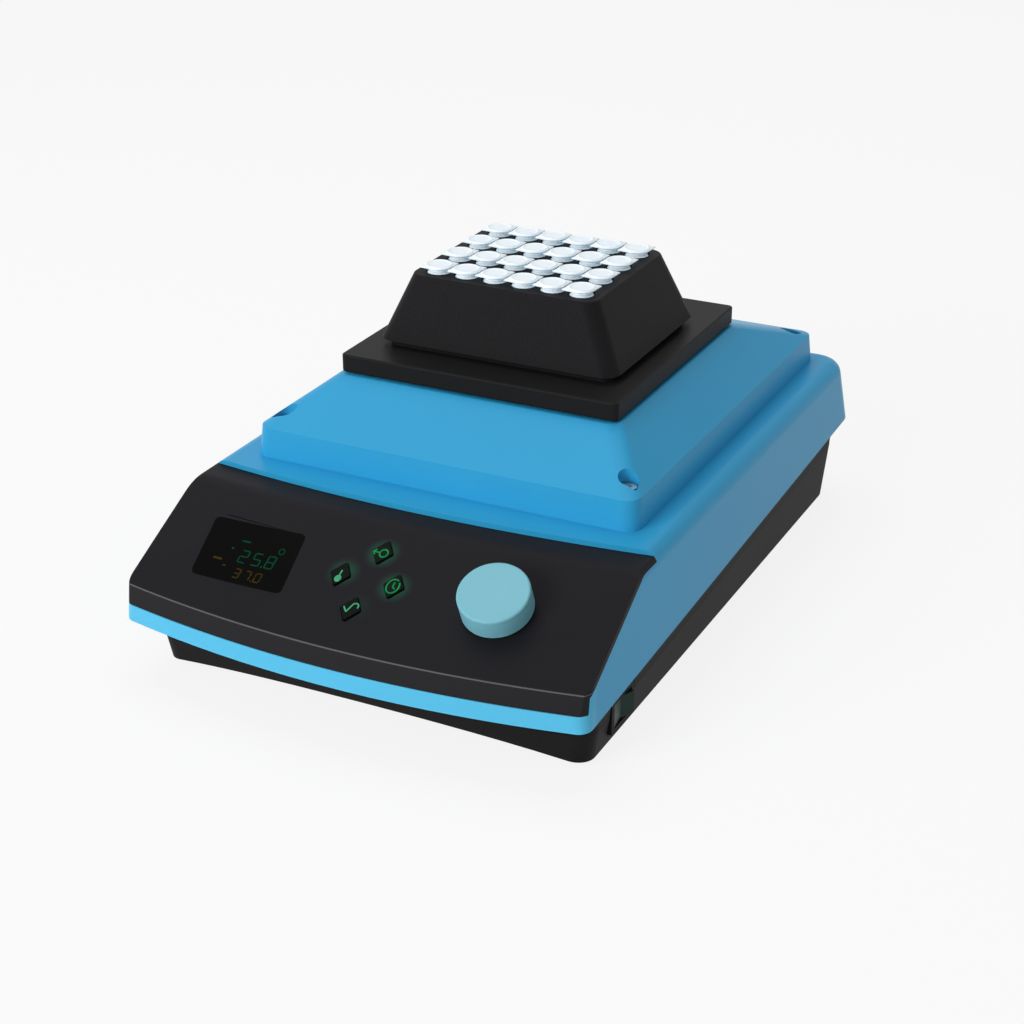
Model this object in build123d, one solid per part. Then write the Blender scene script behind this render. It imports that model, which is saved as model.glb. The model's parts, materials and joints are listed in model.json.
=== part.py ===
from build123d import *
import math
import os

os.makedirs("parts", exist_ok=True)

# Thermal mixer for small sample tubes. Millimetres, +Z up, +Y to the back, +X to the right seen from
# the front. The origin is on the table, under the middle of the body.

# Body
body_width = 220.0            # across the parting line, the widest place
body_depth = 340.0            # from the middle of the bowed lip to the rear bulge
foot_stand = 3.0              # the feet hold the tray this far off the table
wall = 2.6                    # thickness of the moulded shells
lip_bow = 11.5                # how far the lip's middle stands in front of its ends
lip_height = 8.2
parting_front_z = 28.3        # height of the parting line at the lip
parting_rear_z = 43.8
deck_z = 76.4
deck_width = 215.6
deck_front_y = -94.0          # middle of the deck's front edge
deck_front_bow = 7.6
deck_rear_y = 160.0
deck_step = 2.2               # the panel lies this far below the deck's front edge
corner_front_radius = 6.0
corner_rear_radius = 14.0
deck_edge_radius = 7.0

# Front slope, as lines across the body
roll_y = -107.0               # where the slope rolls over to the flat at its top
roll_bow = 5.5
crease_y = -168.0             # where the slope meets the steep strip over the lip
crease_z = 45.0
crease_bow = 11.5
strip_setback = 0.4           # the panel's foot stands this far behind the lip's face
roll_radius = 13.0

# Base tray
base_width = 204.6            # at its underside
base_front_y = -146.0
base_bow = 4.0
base_rear_y = 160.5
base_flare_drop = 13.0        # height of the flare under the parting line
base_neck_width = 209.2       # where the flare starts
base_neck_front_y = -150.0
base_neck_bow = 7.0
base_neck_rear_y = 163.0
base_reveal = 0.7             # the tray's rim stands in from the upper shell's rim
base_corner_radius = 9.0
floor_thickness = 3.0
foot_x = 76.0
foot_front_y = -96.0
foot_rear_y = 140.0
foot_radius = 9.0
foot_seat = 1.0               # depth of the recess that holds a foot
vent_count = 9
vent_pitch = 9.0
vent_width = 3.6
vent_length = 44.0
vent_y = 30.0
arch_height = 7.0             # rise of the arch under the front skirt
arch_depth = 36.0

# Drive cover
tier_width = 185.0
tier_front_y = -74.8
tier_rear_y = 150.0
tier_height = 13.6            # from the deck to the tier's shoulder
tier_draft = 1.2              # the tier is this much wider at the deck, each side
tier_corner_radius = 7.0
cover_top_z = 107.6
cover_wall = 2.5
cover_opening = 112.0         # square opening under the platform
cover_opening_radius = 14.0
cover_seat_width = 8.0        # flange of the cover that lies on the deck
pocket_radius = 4.6
pocket_inset_x = 8.5          # from the tier's side to the pocket's axis
pocket_inset_y = 12.5
pocket_tip_x = 4.6            # the teardrop's tip, outwards from the pocket's axis
pocket_tip_y = 4.0
pocket_tip_radius = 0.8
pocket_floor_drop = 1.5       # the pocket's floor is this far under the shoulder
cover_rim_radius = 2.0
cover_top_margin = 0.9        # the cover's top is this much wider than the platform, each side

# Shaking platform
platform_width = 136.8
platform_depth = 138.9
platform_center_y = 29.5
platform_gap = 0.8            # between the cover's top and the platform
platform_thickness = 8.4
platform_radius = 2.5
orbit_radius = 1.5

# Block
shroud_top_width = 91.5
shroud_top_depth = 82.0
shroud_bottom_width = 118.5
shroud_bottom_depth = 96.0
shroud_height = 30.7
shroud_foot_height = 3.2
shroud_foot_inset = 4.0
shroud_radius = 8.0
shroud_wall = 3.0
shroud_edge_radius = 1.2
tube_pitch_x = 14.18
tube_pitch_y = 20.3
tube_columns = 6
tube_rows = 4
block_shift_y = -4.5          # the block sits a little in front of the platform's middle

# Control panel and what is on it
panel_thickness = 2.4
panel_edge_radius = 1.6
window_center_x = -60.5
window_center_s = 34.0        # distances s run up the slope from the crease
window_width = 46.3
window_height = 32.0
window_radius = 2.5
window_thickness = 1.6
keys_center_x = -1.4
keys_center_s = 36.3
key_spread_x = 12.7
key_spread_s = 15.4
key_half_width = 4.8
key_half_height = 6.6
key_clearance = 0.35
key_proud = 0.9
key_travel = 0.7
knob_x = 58.2
knob_s = 35.3
knob_diameter = 30.5
knob_height = 10.3
knob_gap = 1.0
knob_press = 0.6
knob_bore_radius = 12.0
knob_cap_thickness = 2.4
knob_edge_radius = 1.0
knob_hub_radius = 5.4
encoder_size = 12.4
encoder_depth = 7.6
encoder_wall = 0.8
encoder_gap = 0.1             # between the panel's bowed back and the flat encoder body
encoder_bush_radius = 3.5
encoder_bush_height = 4.0
encoder_shaft_radius = 3.0
encoder_shaft_flat = 2.2      # from the axis to the flat on the shaft
encoder_shaft_end = 0.5       # play under the shaft with the knob pressed
encoder_rotor_radius = 4.6
encoder_rotor_play = 0.15
encoder_cavity_gap = 0.4
nut_width = 10.5
nut_height = 2.0
board_s = 34.0
board_width = 170.0
board_height = 42.0
board_depth = 14.5            # from the panel's face to the board's upper side, at the middle
board_thickness = 1.6
board_opening_width = 176.0   # the shell is open under the panel, for the board and the keys
board_opening_height = 55.0
board_opening_radius = 4.0
board_screw_left_x = -30.0
board_screw_right_x = 80.0
board_screw_inset = 5.0       # from the board's long edges
board_boss_radius = 3.0
window_drop = 0.3             # the pane lies this far below the panel's face
window_ledge = 1.5
window_gap = 0.1
display_margin = 1.0
display_height = 8.3
key_corner_radius = 0.8
key_edge_radius = 0.4
key_flange_reach = 1.2
key_flange_thickness = 0.8
key_flange_gap = 0.35
key_stem_radius = 1.6
key_switch_gap = 0.2          # left between stem and switch with the key pressed
switch_size = 6.0
switch_height = 3.5
plunger_radius = 1.7
plunger_height = 1.0

# Power rocker in the right side of the tray
rocker_center_y = -112.0
rocker_center_z = 15.6
rocker_seat_x = 103.0         # flat seat of the rocker's frame
rocker_length = 16.6          # along Y
rocker_height = 10.2
rocker_gap = 0.5
rocker_tilt = 8.0             # degrees to each side of level
rocker_pivot_depth = 5.0      # pivot axis inside the frame's outer face
rocker_rim = 2.6
rocker_rim_thickness = 2.0
rocker_case_depth = 15.0
rocker_dish = 0.9             # how far the rocker's ends stand out past its middle, each way
rocker_end_draft = 0.7        # its ends lean in, so that they clear the frame as it tips
rocker_skirt = 3.6
rocker_foot_width = 6.4
rocker_foot_depth = 5.2
rocker_pocket_margin = 1.2

# Mains inlet in the rear wall
inlet_x = 62.0
inlet_z = 17.8
inlet_socket_width = 24.4
inlet_socket_height = 16.6
inlet_shell = 1.4
inlet_rim = 2.2
inlet_rim_thickness = 2.0
inlet_depth = 19.0
inlet_pin_length = 12.5
inlet_pin_spread = 7.0

# Orbital drive
drive_axis_y = platform_center_y - orbit_radius
chassis_z = 62.0
chassis_thickness = 4.0
chassis_width = 176.0
chassis_front_y = -36.0
chassis_rear_y = 130.0
chassis_corner_radius = 8.0
post_x = 80.0
post_front_y = -25.0
post_rear_y = 118.0
post_radius = 5.0
post_boss_radius = 8.0
post_boss_height = 4.0
post_screw_depth = 9.0        # how deep the screws go into a post
shaft_radius = 4.0
bearing_radius = 11.0
bearing_width = 7.0
bearing_seat_gap = 0.03
bearing_lip = 2.0             # shoulder between the two bearings
running_gap = 0.05            # between a shaft and what it turns in
axial_play = 0.2
housing_length = 22.0
housing_radius = 15.0
housing_flange_radius = 24.0
housing_flange_thickness = 3.5
housing_bolt_circle = 19.5
housing_bolts = 3
retaining_ring_thickness = 1.2
retaining_ring_radius = 6.0
retaining_groove_depth = 0.5
shaft_shoulder_radius = 5.5
shaft_web_radius = 9.0
shaft_web_thickness = 3.0
pulley_z = 70.0
pulley_width = 9.0
pulley_radius = 27.0
pulley_flange = 1.2           # thickness of a pulley's flanges
pulley_flange_reach = 2.0     # how far they stand out past the belt's inner side
pulley_web_thickness = 3.0
pulley_hub_radius = 8.0
motor_pulley_radius = 9.0
motor_distance = 70.0
motor_radius = 21.0
motor_length = 38.0
motor_groove = 0.8
motor_pilot_radius = 11.0
motor_pilot_height = 2.0
motor_shaft_radius = 2.5
motor_bolt_circle = 15.5
motor_bolts = 4
motor_end_cap = 8.0
belt_thickness = 1.2
belt_width = 6.0
belt_gap = 0.3                # between the belt and the pulleys
counterweight_radius = 25.0
counterweight_z = 81.0
counterweight_hub_radius = 9.0
pin_bearing_z = 94.0
pin_end_play = 0.5
hub_radius = 15.0
hub_drop = 0.6                # the hub reaches this far below its bearing
idler_count = 3
idler_circle = 36.0
idler_shaft_radius = 2.5
idler_shoulder_radius = 4.0
idler_web_radius = 6.0
idler_web_low_z = 90.0
idler_web_thickness = 3.0
idler_pin_top_z = 103.0
idler_pin_gap = 0.3           # the closed linkage is open here, so the pins run with more play
idler_hub_radius = 7.0
idler_hub_low_z = 95.0
bush_radius = 5.0
bush_flange_radius = 7.0
bush_flange_thickness = 1.5
bush_drop = 8.0               # the bush reaches this far under the chassis
carrier_size = 104.0
carrier_thickness = 3.2
carrier_corner_radius = 8.0
carrier_screw_x = 48.0
carrier_screw_spread_y = 15.0
shroud_screw_spread_y = 35.0
shroud_screw_depth = 9.0
shroud_boss_height = 12.0

# Heating block and sample tubes
platform_window_width = 88.0
platform_window_depth = 78.0
platform_edge_radius = 0.8
heater_margin = 2.0           # the heater plate is this much smaller than the block, each side
heater_thickness = 2.2
block_width = 84.4
block_depth = 74.6
block_height = 37.6
block_corner_radius = 3.0
block_screw_depth = 8.0       # the block's screw heads lie this far under its top
sensor_radius = 1.5
sensor_z = 122.0
sensor_depth = 16.0
sensor_reach = 3.0            # how far the sensor stands out of the block
sensor_gap = 0.1
shroud_top_thickness = 2.5
tube_radius = 5.4
tube_cone_radius = 5.2
tube_tip_radius = 1.8
tube_length = 37.0            # under the rim
tube_cone_length = 17.0
tube_rim_radius = 6.3
tube_rim_thickness = 1.4
tube_gap = 0.3                # between a tube and its bore
tube_hole_gap = 0.5           # between a tube and its hole in the shroud
tube_seat_gap = 0.1           # under the rim
tube_end_gap = 0.5            # under the tip
cap_radius = 6.45
cap_thickness = 2.0
cap_dish_radius = 4.7
cap_dish_depth = 0.5
cap_tab_reach = 9.1
cap_hinge_reach = 8.0
cap_turn = 45.0               # the tabs point to the front left, so that the long caps clear each other
cap_tab_radius = 1.3
cap_hinge_radius = 2.6

# Screws and bosses
screw_radius = 1.5
screw_head_radius = 3.6
screw_head_height = 2.4
screw_socket_radius = 1.3
screw_socket_depth = 1.4
screw_gap = 0.15              # round a shank, in every screw hole
head_gap = 0.4                # round a screw head in its counterbore
boss_radius = 4.6
boss_joint_z = 40.0
boss_screw_depth = 11.0
boss_seat = 8.0               # material between the screw head and the joint
cover_boss_drop = 8.0         # length of the cover screws' bosses under the deck
cover_screw_depth = 6.0
housing_screw_x = 93.0
housing_screw_front_y = -133.0
housing_screw_rear_y = 140.0

# Power board in the tray
power_board_x = 49.0
power_board_y = 102.0
power_board_width = 42.0
power_board_depth = 80.0
power_board_lift = 6.0
power_post_radius = 3.0
power_post_inset = 4.5
transformer_width = 30.0
transformer_depth = 32.0
transformer_height = 24.0
transformer_y = 88.0
capacitor_radius = 6.0
capacitor_height = 20.0
capacitor_y = 124.0
capacitor_spread_x = 9.0

bow_reference = body_width / 2 - 1.0
lip_y = -body_depth / 2
rear_y = body_depth / 2
lip_top_z = parting_front_z + lip_height
roll_z = deck_z - deck_step
parting_tilt = math.atan2(parting_rear_z - parting_front_z, rear_y - lip_y)
floor_z = foot_stand + floor_thickness
screw_hole_radius = screw_radius + screw_gap
platform_low_z = cover_top_z + platform_gap
platform_top_z = platform_low_z + platform_thickness
carrier_low_z = platform_low_z - carrier_thickness
block_center_y = platform_center_y + block_shift_y
block_low_z = platform_low_z + heater_thickness
block_top_z = block_low_z + block_height
shroud_top_z = platform_top_z + shroud_foot_height + shroud_height
motor_y = drive_axis_y + motor_distance
cover_middle_y = (tier_front_y + tier_rear_y) / 2


def parting_plane(drop=0.0):
    # the tilted plane where the two shells meet, moved down by drop
    middle_z = (parting_front_z + parting_rear_z) / 2 - drop
    normal = (0, -math.sin(parting_tilt), math.cos(parting_tilt))
    return Plane(origin=(0, 0, middle_z), x_dir=(1, 0, 0), z_dir=normal)


def level_plane(height):
    return Plane(origin=(0, 0, height))


def plan_outline(width, front_y, bow, back_y, front_radius, back_radius, tilt=0.0):
    # a body section seen from above: bowed front, straight sides and back, rounded corners
    half = width / 2
    stretch = 1 / math.cos(tilt)
    side_y = (front_y + bow) * stretch
    far_y = back_y * stretch
    face = make_face([
        ThreePointArc((-half, side_y), (0, front_y * stretch), (half, side_y)),
        Line((half, side_y), (half, far_y)),
        Line((half, far_y), (-half, far_y)),
        Line((-half, far_y), (-half, side_y)),
    ])
    face = fillet(face.vertices().sort_by(Axis.Y)[:2], front_radius)
    return fillet(face.vertices().sort_by(Axis.Y)[-2:], back_radius)


def inset_outline(points, insets):
    # moves each side of a closed outline inwards by its own distance; the points run clockwise
    moved = []
    count = len(points)
    for i in range(count):
        before, here, after = points[i - 1], points[i], points[(i + 1) % count]
        sides = []
        for start, end, inset in ((before, here, insets[i - 1]), (here, after, insets[i])):
            run = (end[0] - start[0], end[1] - start[1])
            length = math.hypot(*run)
            shift = (run[1] / length * inset, -run[0] / length * inset)
            sides.append(((here[0] + shift[0], here[1] + shift[1]), run))
        (first, run_in), (second, run_out) = sides
        cross = run_in[0] * run_out[1] - run_in[1] * run_out[0]
        gap = (second[0] - first[0], second[1] - first[1])
        reach = (gap[0] * run_out[1] - gap[1] * run_out[0]) / cross
        moved.append((first[0] + run_in[0] * reach, first[1] + run_in[1] * reach))
    return moved


def front_form(ledge_inset=0.0, slope_inset=0.0, deck_inset=0.0):
    # everything under the lip's ledge, the front slope and the deck, bowed across the width
    reach = body_width / 2 + 6.0
    beyond = 8.0
    sections = []
    for station in (-reach, 0.0, reach):
        bow = (station / bow_reference) ** 2
        deck_edge_y = deck_front_y + deck_front_bow * bow
        points = [
            (lip_y - beyond, 0.0),
            (lip_y - beyond, lip_top_z),
            (lip_y + strip_setback + lip_bow * bow, lip_top_z),
            (crease_y + crease_bow * bow, crease_z),
            (roll_y + roll_bow * bow, roll_z),
            (deck_edge_y, roll_z),
            (deck_edge_y, deck_z),
            (rear_y + beyond, deck_z),
            (rear_y + beyond, 0.0),
        ]
        insets = [0.0, ledge_inset, slope_inset, slope_inset, slope_inset, deck_inset, deck_inset, 0.0, 0.0]
        outline = inset_outline(points, insets)
        face = make_face(Polyline(*outline, close=True))
        roll_corner = face.vertices().sort_by_distance((outline[4][0], outline[4][1], 0))[0]
        face = fillet(roll_corner, roll_radius)
        side_view = Plane(origin=(station, 0, 0), x_dir=(0, 1, 0), z_dir=(1, 0, 0))
        sections.append(side_view * face)
    return loft(sections)


def side_form(side_inset=0.0, top_inset=0.0):
    # the body's sides, lip face and back above the parting, with the deck's rounded edge
    back_radius = corner_rear_radius - side_inset
    front_radius = corner_front_radius - side_inset
    low = plan_outline(body_width - 2 * side_inset, lip_y + side_inset, lip_bow,
                       rear_y - side_inset, front_radius, back_radius, parting_tilt)
    high = plan_outline(deck_width - 2 * side_inset, lip_y + side_inset, lip_bow,
                        deck_rear_y - side_inset, back_radius, back_radius)
    form = loft([parting_plane() * low, level_plane(deck_z - top_inset) * high], ruled=True)
    rim = form.faces().sort_by(Axis.Z)[-1].edges()
    return fillet(rim, deck_edge_radius - top_inset)


def slope_point(x, s):
    # a place on the outside of the front slope, s up from the crease, and the plane that touches it
    bow = (x / bow_reference) ** 2
    run_y = roll_y + roll_bow * bow - crease_y - crease_bow * bow
    rise = roll_z - crease_z
    share = s / math.hypot(run_y, rise)
    y = crease_y + crease_bow * bow + share * run_y
    z = crease_z + share * rise
    turn = 2 * x / bow_reference ** 2 * (crease_bow + share * (roll_bow - crease_bow))
    across = Vector(1, turn, 0).normalized()
    normal = Vector(turn * rise, -rise, run_y).normalized()
    return Plane(origin=(x, y, z), x_dir=across, z_dir=normal)


def block_on(plane, width, height, low, high, radius=0.0):
    # a box with rounded corners on a plane, from low to high along its normal
    outline = RectangleRounded(width, height, radius) if radius > 0 else Rectangle(width, height)
    return plane * Pos(0, 0, low) * extrude(outline, high - low)


def rod_on(plane, radius, low, high):
    return plane * Pos(0, 0, low) * extrude(Circle(radius), high - low)


def upright(x, y):
    return Plane(origin=(x, y, 0))


def body_shell():
    # the blue upper shell, its recess for the panel, and the panel itself
    sides = side_form()
    outside = front_form() & sides
    core = front_form(slope_inset=panel_thickness) & sides
    panel = outside - core
    under = panel_thickness + wall
    hollow = front_form(wall, under, wall) & side_form(wall, wall)
    shell = core - hollow

    seat = cover_wall + cover_seat_width
    shell -= block_on(upright(0, cover_middle_y), tier_width - 2 * seat, tier_rear_y - tier_front_y - 2 * seat,
                      deck_z - 2 * wall, deck_z + 1, tier_corner_radius)
    shell -= block_on(slope_point(0, board_s), board_opening_width, board_opening_height,
                      -board_depth, 1, board_opening_radius)
    for x, y in housing_screw_places():
        shell += rod_on(upright(x, y), boss_radius, boss_joint_z, deck_z) & core
        shell -= rod_on(upright(x, y), screw_hole_radius, boss_joint_z, boss_joint_z + boss_screw_depth + 1)
    boss_low_z = deck_z - wall - cover_boss_drop
    for x, y in cover_screw_places():
        shell += rod_on(upright(x, y), boss_radius, boss_low_z, deck_z - wall)
        shell -= rod_on(upright(x, y), screw_hole_radius, deck_z - wall - cover_screw_depth, deck_z + 1)
    return shell, panel


def housing_screw_places():
    return [(side * housing_screw_x, y) for side in (-1, 1)
            for y in (housing_screw_front_y, housing_screw_rear_y)]


def cover_screw_places():
    return [(side * (tier_width / 2 - pocket_inset_x), y) for side in (-1, 1)
            for y in (tier_front_y + pocket_inset_y, tier_rear_y - pocket_inset_y)]


def post_places():
    return [(side * post_x, y) for side in (-1, 1) for y in (post_front_y, post_rear_y)]


def foot_places():
    return [(side * foot_x, y) for side in (-1, 1) for y in (foot_front_y, foot_rear_y)]


def tray_form(inset, low_z):
    # the black tray: drafted from its underside to the neck, then flared out to the parting line
    front_radius = max(base_corner_radius - inset, 1.0)
    back_radius = corner_rear_radius - inset

    def section(share, drop):
        half = (base_neck_width / 2) + share * (body_width / 2 - base_reveal - base_neck_width / 2)
        front = base_neck_front_y + share * (lip_y + base_reveal - base_neck_front_y)
        bow = base_neck_bow + share * (lip_bow - base_neck_bow)
        back = base_neck_rear_y + share * (rear_y - base_reveal - base_neck_rear_y)
        outline = plan_outline(2 * (half - inset), front + inset, bow, back - inset,
                               front_radius, back_radius, parting_tilt)
        return parting_plane(drop) * outline

    foot = plan_outline(base_width - 2 * inset, base_front_y + inset, base_bow,
                        base_rear_y - inset, front_radius, back_radius)
    lower = loft([level_plane(low_z) * foot, section(0, base_flare_drop)], ruled=True)
    steps = [(1 - math.sqrt(1 - rise ** 2), base_flare_drop * (1 - rise)) for rise in (0, 0.55, 0.85, 1)]
    flare = loft([section(share, drop) for share, drop in steps])
    return lower + flare


def arch_form(rise, low_z):
    # the shallow arch under the front skirt, as a round-topped bar along Y
    half = base_width / 2
    radius = (half ** 2 + rise ** 2) / (2 * rise)
    bar = Pos(0, low_z + rise - radius) * Circle(radius)
    front_view = Plane(origin=(0, base_front_y + arch_depth, 0), x_dir=(1, 0, 0), z_dir=(0, -1, 0))
    return front_view * extrude(bar, arch_depth + 30)


def base_tray():
    tray = tray_form(0, foot_stand)
    hollow = tray_form(wall, foot_stand) & block_on(upright(0, 0), 400, 400, floor_z, 200)
    hollow -= arch_form(arch_height + floor_thickness, foot_stand)
    tray -= hollow
    tray -= arch_form(arch_height, foot_stand)
    for x, y in housing_screw_places():
        tray += rod_on(upright(x, y), screw_head_radius + head_gap + 1.5, floor_z - 1, boss_joint_z)
        tray -= rod_on(upright(x, y), screw_hole_radius, 0, boss_joint_z + 1)
        tray -= rod_on(upright(x, y), screw_head_radius + head_gap, 0, boss_joint_z - boss_seat)
    for x, y in post_places():
        tray += rod_on(upright(x, y), post_boss_radius, floor_z - 1, floor_z + post_boss_height)
        tray -= rod_on(upright(x, y), screw_hole_radius, 0, floor_z + post_boss_height + 1)
        tray -= rod_on(upright(x, y), screw_head_radius + head_gap, 0, foot_stand + screw_head_height + 1)
    for x, y in foot_places():
        tray -= rod_on(upright(x, y), foot_radius + 0.2, 0, foot_stand + foot_seat)
    for x in vent_places():
        tray -= block_on(upright(x, vent_y), vent_width, vent_length, 0, floor_z + 1, vent_width / 2.01)
    tray -= rocker_pocket()
    tray += inlet_pad() - block_on(inlet_plane(), inlet_outer_width() + 0.3, inlet_outer_height() + 0.3, -20, 10)
    tray -= block_on(inlet_plane(), inlet_outer_width() + 0.3, inlet_outer_height() + 0.3, -12, 10)
    return tray


def vent_places():
    return [(i - (vent_count - 1) / 2) * vent_pitch for i in range(vent_count)]


def rocker_plane():
    # the flat seat of the rocker's frame: local x runs to the back, local y up, outwards along +X
    return Plane(origin=(rocker_seat_x, rocker_center_y, rocker_center_z), x_dir=(0, 1, 0), z_dir=(1, 0, 0))


def rocker_frame_length():
    return rocker_length + 2 * rocker_gap + 2 * rocker_rim


def rocker_frame_height():
    return rocker_height + 2 * rocker_gap + 2 * rocker_rim


def rocker_pocket():
    # the seat cut into the tray's side and the hole for the switch case
    margin = 2 * rocker_pocket_margin
    pocket = block_on(rocker_plane(), rocker_frame_length() + margin, rocker_frame_height() + margin, 0, 12, 2)
    case = block_on(rocker_plane(), rocker_case_length() + 0.4, rocker_case_height() + 0.4, -10, 1)
    return pocket + case


def rocker_case_length():
    return rocker_length + 2 * rocker_gap + 2 * 1.0


def rocker_case_height():
    return rocker_height + 2 * rocker_gap + 2 * 1.0


def rocker_switch():
    plane = rocker_plane()
    rim = block_on(plane, rocker_frame_length(), rocker_frame_height(), 0, rocker_rim_thickness, 1.6)
    case = block_on(plane, rocker_case_length(), rocker_case_height(), -rocker_case_depth, 0)
    frame = rim + case
    frame -= block_on(plane, rocker_length + 2 * rocker_gap, rocker_height + 2 * rocker_gap,
                      -rocker_case_depth + 2, rocker_rim_thickness + 1)
    half = rocker_length / 2
    pivot = rocker_rim_thickness - rocker_pivot_depth
    end = half - rocker_end_draft
    foot = rocker_foot_width / 2
    paddle = Polyline((-end, rocker_dish), (0, -rocker_dish), (end, rocker_dish), (half, -rocker_skirt),
                      (foot, -rocker_foot_depth), (-foot, -rocker_foot_depth), (-half, -rocker_skirt), close=True)
    profile = plane * Pos(0, 0, rocker_rim_thickness) * (Plane.XZ * make_face(paddle))
    rocker = extrude(profile, rocker_height / 2, both=True)
    axis = Axis((plane.origin.X + pivot, plane.origin.Y, plane.origin.Z), (0, 0, 1))
    return frame, rocker.rotate(axis, -rocker_tilt)


def inlet_outer_width():
    return inlet_socket_width + 2 * inlet_shell


def inlet_outer_height():
    return inlet_socket_height + 2 * inlet_shell


def inlet_plane():
    # the flat pad for the inlet: local x runs to the left seen from behind, outwards along +Y
    return Plane(origin=(inlet_x, base_neck_rear_y, inlet_z), x_dir=(-1, 0, 0), z_dir=(0, 1, 0))


def inlet_pad():
    return block_on(inlet_plane(), inlet_outer_width() + 10, 2 * (inlet_z - foot_stand) - 1, -8, 0, 2)


def mains_inlet():
    plane = inlet_plane()
    rim = block_on(plane, inlet_outer_width() + 2 * inlet_rim, inlet_outer_height() + 2 * inlet_rim,
                   0, inlet_rim_thickness, 2)
    shell = block_on(plane, inlet_outer_width(), inlet_outer_height(), inlet_rim_thickness - inlet_depth - 2, 0)
    socket_outline = Rectangle(inlet_socket_width, inlet_socket_height)
    upper = socket_outline.vertices().sort_by(Axis.Y)[-2:]
    socket_outline = chamfer(upper, 4.5)
    socket = plane * Pos(0, 0, inlet_rim_thickness - inlet_depth) * extrude(socket_outline, inlet_depth + 1)
    pins = Part()
    for across, up in ((-inlet_pin_spread, -2), (inlet_pin_spread, -2), (0, 2)):
        pins += plane * Pos(across, up, inlet_rim_thickness - inlet_depth) * extrude(
            Rectangle(2, 4), inlet_pin_length)
    return rim + shell - socket, pins


def pocket_floor_z():
    return deck_z + tier_height - pocket_floor_drop


def drive_cover():
    # the stepped blue cover: a tier that stands on the deck and a frustum up to the platform
    shoulder_z = deck_z + tier_height
    middle_y = cover_middle_y
    depth = tier_rear_y - tier_front_y
    top_depth = platform_depth + 2 * cover_top_margin
    top_width = platform_width + 2 * cover_top_margin

    def form(inset, top_z):
        radius = tier_corner_radius - inset
        low = RectangleRounded(tier_width + 2 * (tier_draft - inset), depth + 2 * (tier_draft - inset), radius)
        shoulder = RectangleRounded(tier_width - 2 * inset, depth - 2 * inset, radius)
        top = RectangleRounded(top_width - 2 * inset, top_depth - 2 * inset, radius)
        base = Pos(0, middle_y, deck_z) * low
        bend = Pos(0, middle_y, shoulder_z - inset / 2) * shoulder
        head = Pos(0, platform_center_y, top_z) * top
        return loft([base, bend], ruled=True) + loft([bend, head], ruled=True)

    outside = form(0, cover_top_z)
    rim = outside.faces().sort_by(Axis.Z)[-1].edges()
    outside = fillet(rim, cover_rim_radius)
    cover = outside - form(cover_wall, cover_top_z - cover_wall)
    cover += outside & (block_on(upright(0, middle_y), tier_width + 4, depth + 4, deck_z, deck_z + cover_wall)
                        - block_on(upright(0, middle_y), tier_width - 2 * (cover_wall + cover_seat_width),
                                   depth - 2 * (cover_wall + cover_seat_width), deck_z - 1,
                                   deck_z + cover_wall + 1, tier_corner_radius))
    cover -= block_on(upright(0, platform_center_y - orbit_radius), cover_opening, cover_opening,
                      shoulder_z, cover_top_z + 1, cover_opening_radius)
    for x, y in cover_screw_places():
        side = math.copysign(1, x)
        end = math.copysign(1, y - middle_y)
        post = rod_on(upright(x, y), pocket_radius + 1.6, deck_z, cover_top_z) & outside
        cover += post
        tip = Pos(x + side * pocket_tip_x, y + end * pocket_tip_y) * Circle(pocket_tip_radius)
        mouth = make_hull((Pos(x, y) * Circle(pocket_radius) + tip).edges())
        cover -= Pos(0, 0, pocket_floor_z()) * extrude(mouth, cover_top_z - pocket_floor_z() + 1)
        cover -= rod_on(upright(x, y), screw_hole_radius, deck_z - 1, pocket_floor_z() + 1)
    return cover


def pan_screw(plane, bearing, tip):
    # a pan-head screw along a plane's normal: the head bears at one height and the shank ends at the other
    out = math.copysign(1, bearing - tip)
    outer = bearing + out * screw_head_height
    screw = rod_on(plane, screw_head_radius, bearing, outer)
    screw += rod_on(plane, screw_radius, tip, bearing)
    return screw - rod_on(plane, screw_socket_radius, outer - out * screw_socket_depth, outer)


def ring_on(plane, outer_radius, inner_radius, low, high):
    return rod_on(plane, outer_radius, low, high) - rod_on(plane, inner_radius, low, high)


def around(x, y, radius, count, first=90.0):
    # places evenly spread on a circle, counted from an angle in degrees
    angles = [math.radians(first + 360 * i / count) for i in range(count)]
    return [(x + radius * math.cos(angle), y + radius * math.sin(angle)) for angle in angles]


def corners(x, y, spread_x, spread_y):
    return [(x + side * spread_x, y + end * spread_y) for side in (-1, 1) for end in (-1, 1)]


def board_screw_places():
    middle_x = (board_screw_left_x + board_screw_right_x) / 2
    return corners(middle_x, 0, board_screw_right_x - middle_x, board_height / 2 - board_screw_inset)


def key_places():
    return {
        "key_top": (keys_center_x, keys_center_s + key_spread_s),
        "key_left": (keys_center_x - key_spread_x, keys_center_s),
        "key_right": (keys_center_x + key_spread_x, keys_center_s),
        "key_bottom": (keys_center_x, keys_center_s - key_spread_s),
    }


def diamond(grow):
    # the keys' outline with soft corners, its sides moved outwards
    half_width_to_side = key_half_width * key_half_height / math.hypot(key_half_width, key_half_height)
    scale = 1 + grow / half_width_to_side
    wide = key_half_width * scale
    high = key_half_height * scale
    face = make_face(Polyline((wide, 0), (0, high), (-wide, 0), (0, -high), close=True))
    return fillet(face.vertices(), key_corner_radius + grow)


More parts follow.
